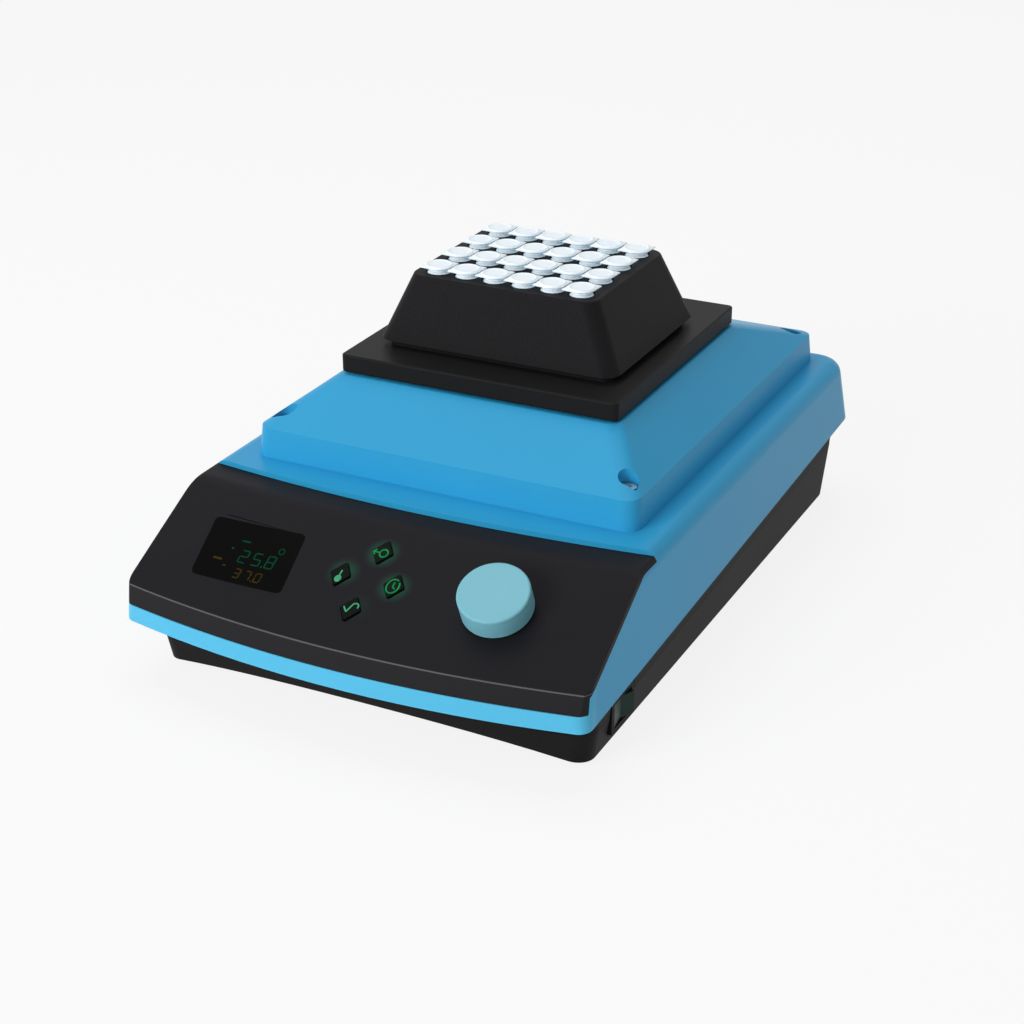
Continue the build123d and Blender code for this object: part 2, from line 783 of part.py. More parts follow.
def finished_panel(panel):
    # openings for the pane, the keys and the knob, and bosses for the board behind
    window = slope_point(window_center_x, window_center_s)
    recess = block_on(window, window_width, window_height, -board_depth, 5, window_radius)
    panel -= recess - front_form(slope_inset=window_drop + window_thickness)
    panel -= block_on(window, window_width - 2 * window_ledge, window_height - 2 * window_ledge,
                      -board_depth, 5, window_radius)
    for x, s in key_places().values():
        panel -= slope_point(x, s) * Pos(0, 0, -board_depth) * extrude(diamond(key_clearance), 2 * board_depth)
    panel -= rod_on(slope_point(knob_x, knob_s), encoder_bush_radius + encoder_gap, -board_depth, board_depth)
    middle = front_form(slope_inset=panel_thickness / 2)
    board = slope_point(0, board_s)
    for x, y in board_screw_places():
        place = board * Pos(x, y)
        panel += rod_on(place, board_boss_radius, -board_depth, 0) & middle
        panel -= rod_on(place, screw_hole_radius, -board_depth, -board_depth + board_boss_screw())
    return panel


def board_boss_screw():
    return board_depth / 2


def window_pane():
    # bowed like the panel, a little below its face
    form = front_form(slope_inset=window_drop) - front_form(slope_inset=window_drop + window_thickness)
    window = slope_point(window_center_x, window_center_s)
    return form & block_on(window, window_width - 2 * window_gap, window_height - 2 * window_gap,
                           -board_depth, 5, window_radius - window_gap)


def control_board():
    # the board under the panel, the display and the key switches on it, and the screws that hold it
    board = slope_point(0, board_s)
    plate = block_on(board, board_width, board_height, -board_depth - board_thickness, -board_depth, 1)
    screws = []
    for x, y in board_screw_places():
        place = board * Pos(x, y)
        plate -= rod_on(place, screw_hole_radius, -board_depth - board_thickness - 1, 0)
        screws.append(pan_screw(place, -board_depth - board_thickness, -board_depth + board_boss_screw() - 1))
    display_place = board * Pos(window_center_x, window_center_s - board_s)
    display = block_on(display_place, window_width + 2 * display_margin, window_height + 2 * display_margin,
                       -board_depth, -board_depth + display_height, display_margin)
    switches = []
    for x, s in key_places().values():
        place = board * Pos(x, s - board_s)
        body = block_on(place, switch_size, switch_size, -board_depth, -board_depth + switch_height)
        plunger_low = -board_depth + switch_height
        switches.append(body + rod_on(place, plunger_radius, plunger_low, plunger_low + plunger_height))
    return plate, screws, display, switches


def key(x, s):
    # a key cap with a flange that holds it under the panel, and a stem down to its switch
    plane = slope_point(x, s)
    under = -panel_thickness - key_flange_gap
    cap = plane * Pos(0, 0, under) * extrude(diamond(0), key_proud - under)
    cap = fillet(cap.faces().sort_by(Axis(plane.origin, plane.z_dir))[-1].edges(), key_edge_radius)
    cap += plane * Pos(0, 0, under) * extrude(diamond(key_flange_reach), -key_flange_thickness)
    stem_end = -board_depth + switch_height + plunger_height + key_travel + key_switch_gap
    return cap + rod_on(plane, key_stem_radius, stem_end, under - key_flange_thickness)


def flat_rod(plane, radius, flat, low, high):
    # a rod with a flat on one side, which a knob grips
    return rod_on(plane, radius, low, high) & block_on(plane * Pos(flat - radius, 0), 2 * radius, 4 * radius, low, high)


def encoder():
    # the rotary encoder behind the panel: body, nut, the rotor that only turns, and the shaft
    plane = slope_point(knob_x, knob_s)
    top = -panel_thickness - encoder_gap
    bottom = top - encoder_depth
    body = block_on(plane, encoder_size, encoder_size, bottom, top, 1)
    body += rod_on(plane, encoder_bush_radius, top, encoder_bush_height)
    body -= rod_on(plane, encoder_rotor_radius + encoder_cavity_gap, bottom + encoder_wall, top - encoder_wall)
    body -= rod_on(plane, encoder_shaft_radius + running_gap, top - encoder_wall, encoder_bush_height)
    nut = plane * extrude(RegularPolygon(nut_width / 2, 6, major_radius=False), nut_height)
    nut -= rod_on(plane, encoder_bush_radius, 0, nut_height)
    rotor_low = bottom + encoder_wall + encoder_rotor_play
    rotor_high = top - encoder_wall - encoder_rotor_play
    rotor = rod_on(plane, encoder_rotor_radius, rotor_low, rotor_high)
    rotor -= flat_rod(plane, encoder_shaft_radius + running_gap, encoder_shaft_flat + running_gap,
                      rotor_low, rotor_high)
    shaft_low = bottom + encoder_wall + encoder_shaft_end + knob_press
    shaft = flat_rod(plane, encoder_shaft_radius, encoder_shaft_flat, shaft_low, knob_socket_top())
    return body, nut, rotor, shaft


def knob_socket_top():
    return knob_gap + knob_height - knob_cap_thickness


def setting_knob():
    # a hollow cap with a hub on the shaft
    plane = slope_point(knob_x, knob_s)
    top = knob_gap + knob_height
    knob = rod_on(plane, knob_diameter / 2, knob_gap, top)
    knob = fillet(knob.faces().sort_by(Axis(plane.origin, plane.z_dir))[-1].edges(), knob_edge_radius)
    knob -= ring_on(plane, knob_bore_radius, knob_hub_radius, knob_gap, knob_socket_top())
    hub_low = encoder_bush_height + knob_press + running_gap + belt_gap
    knob -= rod_on(plane, knob_hub_radius, knob_gap, hub_low)
    return knob - flat_rod(plane, encoder_shaft_radius, encoder_shaft_flat, hub_low, knob_socket_top())


def feet():
    pieces = []
    for x, y in foot_places():
        foot = rod_on(upright(x, y), foot_radius, 0, foot_stand + foot_seat)
        pieces.append(chamfer(foot.faces().sort_by(Axis.Z)[0].edges(), foot_seat))
    return pieces


def idler_places():
    return around(0, drive_axis_y, idler_circle, idler_count)


def chassis():
    # the plate that carries the drive, its posts, and the screws above and below them
    top = chassis_z + chassis_thickness
    middle_y = (chassis_front_y + chassis_rear_y) / 2
    plate = block_on(upright(0, middle_y), chassis_width, chassis_rear_y - chassis_front_y, chassis_z, top,
                     chassis_corner_radius)
    holes = [(x, y, screw_hole_radius) for x, y in post_places() + housing_bolt_places() + motor_bolt_places()]
    holes += [(x, y, bush_radius) for x, y in idler_places()]
    holes += [(0, drive_axis_y, bearing_radius), (0, motor_y, motor_pilot_radius)]
    for x, y, radius in holes:
        plate -= rod_on(upright(x, y), radius, chassis_z, top)
    posts = []
    screws = []
    low = floor_z + post_boss_height
    for x, y in post_places():
        post = rod_on(upright(x, y), post_radius, low, chassis_z)
        post -= rod_on(upright(x, y), screw_hole_radius, low, low + post_screw_depth + 1)
        post -= rod_on(upright(x, y), screw_hole_radius, chassis_z - post_screw_depth - 1, chassis_z)
        posts.append(post)
        screws.append(pan_screw(upright(x, y), top, chassis_z - post_screw_depth))
        screws.append(pan_screw(upright(x, y), foot_stand + screw_head_height + 1, low + post_screw_depth))
    return plate, posts, screws


def housing_bolt_places():
    return around(0, drive_axis_y, housing_bolt_circle, housing_bolts, first=270.0)


def motor_bolt_places():
    return around(0, motor_y, motor_bolt_circle, motor_bolts, first=45.0)


def bearing(x, y, low):
    # a sealed bearing as one ring, with the step of its shield on both faces
    place = upright(x, y)
    ring = ring_on(place, bearing_radius - bearing_seat_gap, shaft_radius + running_gap, low, low + bearing_width)
    shield_outer = bearing_radius - 2
    shield_inner = shaft_radius + 2
    for face_z in (low, low + bearing_width - 0.3):
        ring -= ring_on(place, shield_outer, shield_inner, face_z, face_z + 0.3)
    return ring


def bearing_housing():
    axis = upright(0, drive_axis_y)
    low = chassis_z - housing_length
    housing = rod_on(axis, housing_radius, low, chassis_z)
    housing += rod_on(axis, housing_flange_radius, chassis_z - housing_flange_thickness, chassis_z)
    housing -= rod_on(axis, bearing_radius, low, low + bearing_width)
    housing -= rod_on(axis, bearing_radius, chassis_z - bearing_width, chassis_z)
    housing -= rod_on(axis, bearing_radius - bearing_lip, low, chassis_z)
    bolts = []
    for x, y in housing_bolt_places():
        housing -= rod_on(upright(x, y), screw_hole_radius, chassis_z - housing_flange_thickness, chassis_z)
        bolts.append(pan_screw(upright(x, y), chassis_z + chassis_thickness, chassis_z - housing_flange_thickness))
    return housing, bolts


def main_bearings():
    low = chassis_z - housing_length
    return [bearing(0, drive_axis_y, low), bearing(0, drive_axis_y, chassis_z - bearing_width)]


def drive_shaft():
    # shaft with a shoulder over the upper bearing, a ring groove under the lower one, web and eccentric pin
    axis = upright(0, drive_axis_y)
    ring_top = chassis_z - housing_length - axial_play
    ring_low = ring_top - retaining_ring_thickness
    web_high = pin_bearing_z - shaft_web_thickness
    web_low = web_high - shaft_web_thickness
    shaft = rod_on(axis, shaft_radius, ring_low - retaining_ring_thickness, web_low)
    shaft -= ring_on(axis, shaft_radius, shaft_radius - retaining_groove_depth, ring_low, ring_top)
    shaft += rod_on(axis, shaft_shoulder_radius, chassis_z + axial_play, pulley_z)
    shaft += rod_on(axis, shaft_web_radius, web_low, web_high)
    shaft += rod_on(upright(0, platform_center_y), shaft_radius, web_high,
                    pin_bearing_z + bearing_width - pin_end_play)
    ring = ring_on(axis, retaining_ring_radius, shaft_radius - retaining_groove_depth, ring_low, ring_top)
    return shaft, ring, web_low


def pulley(x, y, radius, bore):
    # a belt pulley with a flange on each side
    axis = upright(x, y)
    high = pulley_z + pulley_width
    wheel = rod_on(axis, radius, pulley_z, high)
    for low in (pulley_z, high - pulley_flange):
        wheel += rod_on(axis, radius + pulley_flange_reach, low, low + pulley_flange)
    return wheel - rod_on(axis, bore, pulley_z, high)


def driven_pulley():
    # the large pulley is turned out on both sides of a thin web
    axis = upright(0, drive_axis_y)
    wheel = pulley(0, drive_axis_y, pulley_radius, shaft_radius)
    recess = (pulley_width - pulley_web_thickness) / 2
    for low in (pulley_z, pulley_z + pulley_width - recess):
        wheel -= ring_on(axis, pulley_radius - 3, pulley_hub_radius, low, low + recess)
    for x, y in around(0, drive_axis_y, (pulley_radius + pulley_hub_radius) / 2 - 1.5, 6):
        wheel -= rod_on(upright(x, y), pulley_radius / 6, pulley_z, pulley_z + pulley_width)
    return wheel


def counterweight(top):
    # a half disc opposite the eccentric pin
    axis = upright(0, drive_axis_y)
    half = rod_on(axis, counterweight_radius, counterweight_z, top)
    half &= block_on(upright(0, drive_axis_y - counterweight_radius), 3 * counterweight_radius,
                     2 * counterweight_radius, counterweight_z, top)
    half += rod_on(axis, counterweight_hub_radius, counterweight_z, top)
    return half - rod_on(axis, shaft_radius, counterweight_z, top)


def motor():
    # the motor under the chassis: can with end caps and pilot, its screws, and the shaft that turns
    axis = upright(0, motor_y)
    low = chassis_z - motor_length
    body = rod_on(axis, motor_radius, low, chassis_z)
    body += rod_on(axis, motor_pilot_radius, chassis_z, chassis_z + motor_pilot_height)
    for groove_low in (low + motor_end_cap, chassis_z - motor_end_cap):
        body -= ring_on(axis, motor_radius, motor_radius - motor_groove, groove_low, groove_low + motor_groove)
    shaft_low = low + motor_end_cap
    body -= rod_on(axis, motor_shaft_radius + running_gap, shaft_low, chassis_z + motor_pilot_height)
    screws = []
    for x, y in motor_bolt_places():
        body -= rod_on(upright(x, y), screw_hole_radius, chassis_z - chassis_thickness - 1, chassis_z)
        screws.append(pan_screw(upright(x, y), chassis_z + chassis_thickness, chassis_z - chassis_thickness))
    shaft = rod_on(axis, motor_shaft_radius, shaft_low + axial_play, pulley_z + pulley_width)
    return body, screws, shaft


def drive_belt():
    # an open belt round both pulleys, a little clear of them
    low = pulley_z + (pulley_width - belt_width) / 2

    def loop(reach):
        drum = Pos(0, drive_axis_y) * Circle(pulley_radius + reach)
        small = Pos(0, motor_y) * Circle(motor_pulley_radius + reach)
        return Pos(0, 0, low) * extrude(make_hull((drum + small).edges()), belt_width)

    return loop(belt_gap + belt_thickness) - loop(belt_gap)


def idler_bushes():
    top = chassis_z + chassis_thickness
    bushes = []
    for x, y in idler_places():
        bush = rod_on(upright(x, y), bush_radius, chassis_z - bush_drop, top)
        bush += rod_on(upright(x, y), bush_flange_radius, top, top + bush_flange_thickness)
        bushes.append(bush - rod_on(upright(x, y), idler_shaft_radius + running_gap,
                                    chassis_z - bush_drop, top + bush_flange_thickness))
    return bushes


def idler_crank(x, y):
    # a crank that keeps the platform from turning: shaft in its bush, web, pin offset like the drive's
    low = chassis_z - bush_drop
    shoulder_low = chassis_z + chassis_thickness + bush_flange_thickness + axial_play
    web_top = idler_web_low_z + idler_web_thickness
    crank = rod_on(upright(x, y), idler_shaft_radius, low, shoulder_low)
    crank += rod_on(upright(x, y), idler_shoulder_radius, shoulder_low, idler_web_low_z)
    crank += rod_on(upright(x, y + orbit_radius / 2), idler_web_radius, idler_web_low_z, web_top)
    return crank + rod_on(upright(x, y + orbit_radius), idler_shaft_radius, web_top, idler_pin_top_z)


def platform_carrier():
    # the plate under the platform, with the hub for the drive pin and one for each idler pin
    middle = upright(0, platform_center_y)
    top = platform_low_z
    carrier = block_on(middle, carrier_size, carrier_size, carrier_low_z, top, carrier_corner_radius)
    bearing_top = pin_bearing_z + bearing_width
    carrier += rod_on(middle, hub_radius, pin_bearing_z - hub_drop, carrier_low_z)
    for x, y in idler_places():
        place = upright(x, y + orbit_radius)
        carrier += rod_on(place, idler_hub_radius, idler_hub_low_z, carrier_low_z)
        carrier -= rod_on(place, idler_shaft_radius + idler_pin_gap, idler_hub_low_z,
                          idler_pin_top_z + pin_end_play)
    carrier -= rod_on(middle, bearing_radius, pin_bearing_z - hub_drop, bearing_top)
    for x, y in carrier_screw_places() + shroud_screw_places() + block_screw_places():
        carrier -= rod_on(upright(x, y), screw_hole_radius, carrier_low_z, top)
    return carrier, bearing(0, platform_center_y, pin_bearing_z)


def carrier_screw_places():
    return corners(0, block_center_y, carrier_screw_x, carrier_screw_spread_y)


def shroud_screw_places():
    return corners(0, block_center_y, carrier_screw_x, shroud_screw_spread_y)


def block_screw_places():
    # between the tubes, in the outer gaps of their grid
    return corners(0, block_center_y, tube_pitch_x * (tube_columns - 2) / 2, tube_pitch_y * (tube_rows - 2) / 2)


def tube_places(row):
    y = block_center_y + (row - (tube_rows - 1) / 2) * tube_pitch_y
    return [((column - (tube_columns - 1) / 2) * tube_pitch_x, y) for column in range(tube_columns)]


def platform():
    # the black plate that shakes, open in its middle for the heating block
    plate = block_on(upright(0, platform_center_y), platform_width, platform_depth, platform_low_z,
                     platform_top_z, platform_radius)
    for z_end in (0, -1):
        plate = fillet(plate.faces().sort_by(Axis.Z)[z_end].edges(), platform_edge_radius)
    plate -= block_on(upright(0, block_center_y), platform_window_width, platform_window_depth,
                      platform_low_z, platform_top_z, platform_radius)
    for x, y in carrier_screw_places() + shroud_screw_places():
        plate -= rod_on(upright(x, y), screw_hole_radius, platform_low_z, platform_top_z)
    return plate


def block_shroud():
    # the tapered housing over the block, on a foot that is set in to leave a dark joint
    place = upright(0, block_center_y)
    low = platform_top_z + shroud_foot_height
    inset = shroud_foot_inset
    foot = block_on(place, shroud_bottom_width - 2 * inset, shroud_bottom_depth - 2 * inset,
                    platform_top_z, low, shroud_radius - inset)
    foot -= block_on(place, shroud_bottom_width - 2 * (inset + shroud_wall),
                     shroud_bottom_depth - 2 * (inset + shroud_wall), platform_top_z, low)

    def taper(inset, low_z, top_z):
        sections = []
        for z in (low_z, top_z):
            share = (z - low) / shroud_height
            width = shroud_bottom_width + share * (shroud_top_width - shroud_bottom_width) - 2 * inset
            depth = shroud_bottom_depth + share * (shroud_top_depth - shroud_bottom_depth) - 2 * inset
            sections.append(Pos(0, block_center_y, z) * RectangleRounded(width, depth, shroud_radius - inset))
        return loft(sections, ruled=True)

    outside = taper(0, low, shroud_top_z)
    outside = fillet(outside.faces().sort_by(Axis.Z)[-1].edges(), shroud_edge_radius)
    shroud = outside - taper(shroud_wall, low, shroud_top_z - shroud_top_thickness)
    floor = block_on(place, shroud_bottom_width - 2 * shroud_wall, shroud_bottom_depth - 2 * shroud_wall,
                     low, low + shroud_wall) & outside
    floor -= block_on(place, shroud_bottom_width - 2 * (inset + shroud_wall),
                      shroud_bottom_depth - 2 * (inset + shroud_wall), low, low + shroud_wall)
    shroud += floor + foot
    for x, y in shroud_screw_places():
        shroud += rod_on(upright(x, y), boss_radius, platform_top_z, platform_top_z + shroud_boss_height) & (
            outside + foot)
        shroud -= rod_on(upright(x, y), screw_hole_radius, platform_top_z, platform_top_z + shroud_screw_depth + 1)
    for row in range(tube_rows):
        for x, y in tube_places(row):
            shroud -= rod_on(upright(x, y), tube_radius + tube_hole_gap, shroud_top_z - shroud_top_thickness,
                             shroud_top_z)
    return shroud


def heating_block():
    # the aluminium block with a conical bore for each tube, its screws, and the sensor in its side
    place = upright(0, block_center_y)
    block = block_on(place, block_width, block_depth, block_low_z, block_top_z, block_corner_radius)
    low = shroud_top_z + tube_seat_gap - tube_length - tube_end_gap
    bend = low + tube_cone_length
    bore = loft([
        Pos(0, 0, low) * Circle(tube_tip_radius + tube_gap),
        Pos(0, 0, bend) * Circle(tube_cone_radius + tube_gap),
    ], ruled=True)
    bore += rod_on(upright(0, 0), tube_radius + tube_gap, bend, block_top_z)
    for row in range(tube_rows):
        for x, y in tube_places(row):
            block -= Pos(x, y) * bore
    screws = []
    for x, y in block_screw_places():
        block -= rod_on(upright(x, y), screw_hole_radius, block_low_z, block_top_z)
        block -= rod_on(upright(x, y), screw_head_radius + head_gap, block_top_z - block_screw_depth, block_top_z)
        screws.append(pan_screw(upright(x, y), block_top_z - block_screw_depth, carrier_low_z))
    side = Plane(origin=(0, block_center_y + block_depth / 2, sensor_z), x_dir=(1, 0, 0), z_dir=(0, 1, 0))
    block -= rod_on(side, sensor_radius + sensor_gap, -sensor_depth - sensor_gap, 0)
    sensor = rod_on(side, sensor_radius, -sensor_depth, sensor_reach)
    return block, screws, sensor


def heater_plate():
    plate = block_on(upright(0, block_center_y), block_width - 2 * heater_margin, block_depth - 2 * heater_margin,
                     platform_low_z, block_low_z, 1)
    for x, y in block_screw_places():
        plate -= rod_on(upright(x, y), screw_hole_radius, platform_low_z, block_low_z)
    return plate


def platform_screws():
    # from above into the carrier, and from under the carrier into the shroud
    screws = [pan_screw(upright(x, y), platform_top_z, carrier_low_z) for x, y in carrier_screw_places()]
    return screws + [pan_screw(upright(x, y), carrier_low_z, platform_top_z + shroud_screw_depth)
                     for x, y in shroud_screw_places()]


def sample_tube():
    # a small closed tube standing at the origin's axis: cone, wall, rim, and the cap with its long tab
    rim_low = shroud_top_z + tube_seat_gap
    tip = rim_low - tube_length
    cap_low = rim_low + tube_rim_thickness
    profile = make_face(Polyline(
        (0, tip), (tube_tip_radius, tip), (tube_cone_radius, tip + tube_cone_length), (tube_radius, rim_low),
        (tube_rim_radius, rim_low), (tube_rim_radius, cap_low), (0, cap_low), close=True))
    tube = revolve(Plane.XZ * profile, Axis.Z)
    tab = Pos(0, -cap_tab_reach + cap_tab_radius) * Circle(cap_tab_radius)
    hinge = Pos(0, cap_hinge_reach - cap_hinge_radius) * Circle(cap_hinge_radius)
    leaf = make_hull((Circle(cap_radius) + tab + hinge).edges())
    cap = Pos(0, 0, cap_low) * extrude(leaf, cap_thickness)
    cap -= rod_on(upright(0, 0), cap_dish_radius, cap_low + cap_thickness - cap_dish_depth, cap_low + cap_thickness)
    return tube + cap.rotate(Axis.Z, -cap_turn)


def power_board():
    place = upright(power_board_x, power_board_y)
    low = floor_z + power_board_lift
    top = low + board_thickness
    board = block_on(place, power_board_width, power_board_depth, low, top, 1)
    posts = [rod_on(upright(x, y), power_post_radius, floor_z, low)
             for x, y in corners(power_board_x, power_board_y, power_board_width / 2 - power_post_inset,
                                 power_board_depth / 2 - power_post_inset)]
    parts = [block_on(upright(power_board_x, transformer_y), transformer_width, transformer_depth,
                      top, top + transformer_height, 2)]
    for side in (-1, 1):
        parts.append(rod_on(upright(power_board_x + side * capacitor_spread_x, capacitor_y),
                            capacitor_radius, top, top + capacitor_height))
    return board, posts, parts


def housing_screws():
    return [pan_screw(upright(x, y), boss_joint_z - boss_seat, boss_joint_z + boss_screw_depth)
            for x, y in housing_screw_places()]


def cover_screws():
    return [pan_screw(upright(x, y), pocket_floor_z(), deck_z - wall - cover_screw_depth + 1)
            for x, y in cover_screw_places()]


def save(node, pieces):
    # writes one node; several solids stay separate inside it
    pieces = pieces if isinstance(pieces, list) else [pieces]
    solids = [solid for piece in pieces for solid in piece.solids()]
    body = solids[0] if len(solids) == 1 else Compound(children=solids)
    export_step(body, "parts/" + node + ".step")


shell, raw_panel = body_shell()
save("upper_housing", shell)
save("control_panel", finished_panel(raw_panel))
save("window_pane", window_pane())
save("base_tray", base_tray())
save("drive_cover", drive_cover())
save("feet", feet())
save("housing_screws", housing_screws())
save("cover_screws", cover_screws())

rocker_frame, rocker = rocker_switch()
save("rocker_frame", rocker_frame)
save("rocker", rocker)
inlet, inlet_pins = mains_inlet()
save("mains_inlet", inlet)
save("inlet_pins", inlet_pins)
supply_board, supply_posts, supply_parts = power_board()
save("power_board", supply_board)
save("power_board_posts", supply_posts)
save("power_components", supply_parts)

board_plate, board_screws, display, switches = control_board()
save("control_board", board_plate)
save("board_screws", board_screws)
save("display_module", display)
save("key_switches", switches)
for name, (key_x, key_s) in key_places().items():
    save(name, key(key_x, key_s))
encoder_body, encoder_nut, encoder_rotor, encoder_shaft = encoder()
save("encoder_body", encoder_body)
save("encoder_nut", encoder_nut)
save("encoder_rotor", encoder_rotor)
save("encoder_shaft", encoder_shaft)
save("setting_knob", setting_knob())

chassis_plate, chassis_posts, chassis_screws = chassis()
save("chassis_plate", chassis_plate)
save("chassis_posts", chassis_posts)
save("chassis_screws", chassis_screws)
housing, housing_bolt_set = bearing_housing()
save("bearing_housing", housing)
save("bearing_housing_bolts", housing_bolt_set)
save("main_bearings", main_bearings())
crankshaft, shaft_ring, web_low_z = drive_shaft()
save("drive_shaft", crankshaft)
save("retaining_ring", shaft_ring)
save("driven_pulley", driven_pulley())
save("counterweight", counterweight(web_low_z))
motor_body, motor_screws, motor_shaft = motor()
save("motor_body", motor_body)
save("motor_screws", motor_screws)
save("motor_shaft", motor_shaft)
save("motor_pulley", pulley(0, motor_y, motor_pulley_radius, motor_shaft_radius))
save("drive_belt", drive_belt())
save("idler_bushes", idler_bushes())
for number, (idler_x, idler_y) in enumerate(idler_places(), 1):
    save("idler_crank_" + str(number), idler_crank(idler_x, idler_y))

carrier, pin_bearing = platform_carrier()
save("platform_carrier", carrier)
save("pin_bearing", pin_bearing)
save("platform", platform())
save("platform_screws", platform_screws())
save("heater_plate", heater_plate())
block, block_screws, sensor = heating_block()
save("heating_block", block)
save("block_screws", block_screws)
save("temperature_sensor", sensor)
save("block_shroud", block_shroud())
tube = sample_tube()
for row in range(tube_rows):
    save("tube_row_" + str(row + 1), [Pos(x, y) * tube for x, y in tube_places(row)])
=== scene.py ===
import json
import math

import bpy
import numpy as np
from mathutils import Matrix, Vector


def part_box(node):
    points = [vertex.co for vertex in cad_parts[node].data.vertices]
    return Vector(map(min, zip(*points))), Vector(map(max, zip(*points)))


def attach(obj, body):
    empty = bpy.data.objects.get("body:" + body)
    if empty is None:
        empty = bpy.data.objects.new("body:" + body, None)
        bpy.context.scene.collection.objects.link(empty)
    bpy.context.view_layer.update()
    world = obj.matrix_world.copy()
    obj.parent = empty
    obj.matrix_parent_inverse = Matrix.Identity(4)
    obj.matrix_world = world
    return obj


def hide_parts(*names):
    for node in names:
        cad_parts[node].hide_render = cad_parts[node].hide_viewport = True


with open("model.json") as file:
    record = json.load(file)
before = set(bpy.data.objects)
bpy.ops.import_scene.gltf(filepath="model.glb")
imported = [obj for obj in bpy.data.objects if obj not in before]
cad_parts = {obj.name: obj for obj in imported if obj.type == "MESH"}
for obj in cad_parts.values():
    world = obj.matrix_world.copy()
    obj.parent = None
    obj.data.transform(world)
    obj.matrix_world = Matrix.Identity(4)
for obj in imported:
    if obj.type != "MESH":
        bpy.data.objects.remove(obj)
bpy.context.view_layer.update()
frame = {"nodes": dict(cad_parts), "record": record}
print("stage: frame loaded")

mm = 0.001
nodes = frame["nodes"]


# shader helpers: a socket with the usual operators, and one way to make any other node
class Value:
    def __init__(self, graph, socket):
        self.graph = graph
        self.socket = socket

    def math(self, operation, *items):
        return self.graph.node("ShaderNodeMath", {"operation": operation}, dict(enumerate(items)))

    def __add__(self, other):
        return self.math("ADD", self, other)

    def __sub__(self, other):
        return self.math("SUBTRACT", self, other)

    def __mul__(self, other):
        return self.math("MULTIPLY", self, other)

    def __truediv__(self, other):
        return self.math("DIVIDE", self, other)

    def __pow__(self, other):
        return self.math("POWER", self, other)

    def __radd__(self, other):
        return self.math("ADD", other, self)

    def __rsub__(self, other):
        return self.math("SUBTRACT", other, self)

    def __rmul__(self, other):
        return self.math("MULTIPLY", other, self)

    def __rtruediv__(self, other):
        return self.math("DIVIDE", other, self)

    def size(self):
        return self.math("ABSOLUTE", self)

    def ramp(self, low, high):
        # 0 at low, 1 at high, smooth between
        return self.graph.node("ShaderNodeMapRange", {"interpolation_type": "SMOOTHSTEP"},
                               {"Value": self, "From Min": low, "From Max": high})


class Graph:
    def __init__(self, name):
        self.material = bpy.data.materials.new(name)
        self.material.use_nodes = True
        self.tree = self.material.node_tree
        self.shader = self.tree.nodes["Principled BSDF"]

    def node(self, kind, settings, sockets, output=0):
        # any node: its settings first, then the values or links of its sockets
        made = self.tree.nodes.new(kind)
        for key, item in settings.items():
            setattr(made, key, item)
        for key, item in sockets.items():
            self.plug(made.inputs[key], item)
        return Value(self, made.outputs[output])

    def plug(self, socket, item):
        if isinstance(item, Value):
            self.tree.links.new(item.socket, socket)
        else:
            socket.default_value = item

    def feed(self, **items):
        for key, item in items.items():
            self.plug(self.shader.inputs[key.replace("_", " ")], item)

    def place(self):
        return self.node("ShaderNodeTexCoord", {}, {}, "Object")

    def noise(self, scale, detail=2.0, rough=0.5):
        return self.node("ShaderNodeTexNoise", {}, {"Vector": self.place(), "Scale": scale, "Detail": detail,
                                                    "Roughness": rough})

    def mix(self, share, low, high):
        return self.node("ShaderNodeMix", {"data_type": "RGBA"}, {0: share, 6: solid(low), 7: solid(high)}, 2)

    def near(self, spot, reach):
        # 1 at a place of the object, falling to 0 at the reach
        apart = self.node("ShaderNodeVectorMath", {"operation": "DISTANCE"}, {0: self.place(), 1: spot},
                          "Value")
        return 1 - apart.ramp(0.0, reach)

    def axis(self, name):
        return self.node("ShaderNodeSeparateXYZ", {}, {0: self.place()}, name)

    def paint(self, share, colour):
        # lays another colour over the base colour by a share
        under = Value(self, self.shader.inputs["Base Color"].links[0].from_socket)
        self.feed(Base_Color=self.mix(share, under, colour))

    def bump(self, height, depth):
        self.feed(Normal=self.node("ShaderNodeBump", {}, {"Height": height, "Distance": depth}))


def solid(colour):
    return (*colour, 1.0) if isinstance(colour, tuple) and len(colour) == 3 else colour


def plastic(name, look):
    # moulded plastic: a slow drift of tone, fine grain in colour and height, uneven gloss
    graph = Graph(name)
    slow = graph.noise(look["driftScale"], 3.0)
    grain = graph.noise(look["grainScale"], 4.0, 0.6)
    tone = graph.mix(slow.ramp(0.3, 0.7), look["colour"], look["colourFar"])
    graph.feed(Base_Color=graph.mix(grain.ramp(0.35, 0.75) * look["speck"], tone, look["speckColour"]))
    graph.feed(Roughness=look["roughness"] + slow * look["roughSpread"])
    graph.bump(grain, look["bump"])
    graph.feed(**look.get("constants", {}))
    return graph


def dress(graph, *names):
    for name in names:
        mesh = nodes[name].data
        for index in range(len(mesh.materials)):
            mesh.materials[index] = graph.material


# the bowed front slope of the housing, in mm: two bowed lines, the crease at its foot and the roll at its top
slope = {"halfWidth": 109.0, "creaseY": -168.0, "creaseZ": 45.0, "creaseBow": 11.5,
         "rollY": -107.0, "rollZ": 74.2, "rollBow": 5.5}
slopeRun = math.hypot(slope["rollY"] - slope["creaseY"], slope["rollZ"] - slope["creaseZ"])


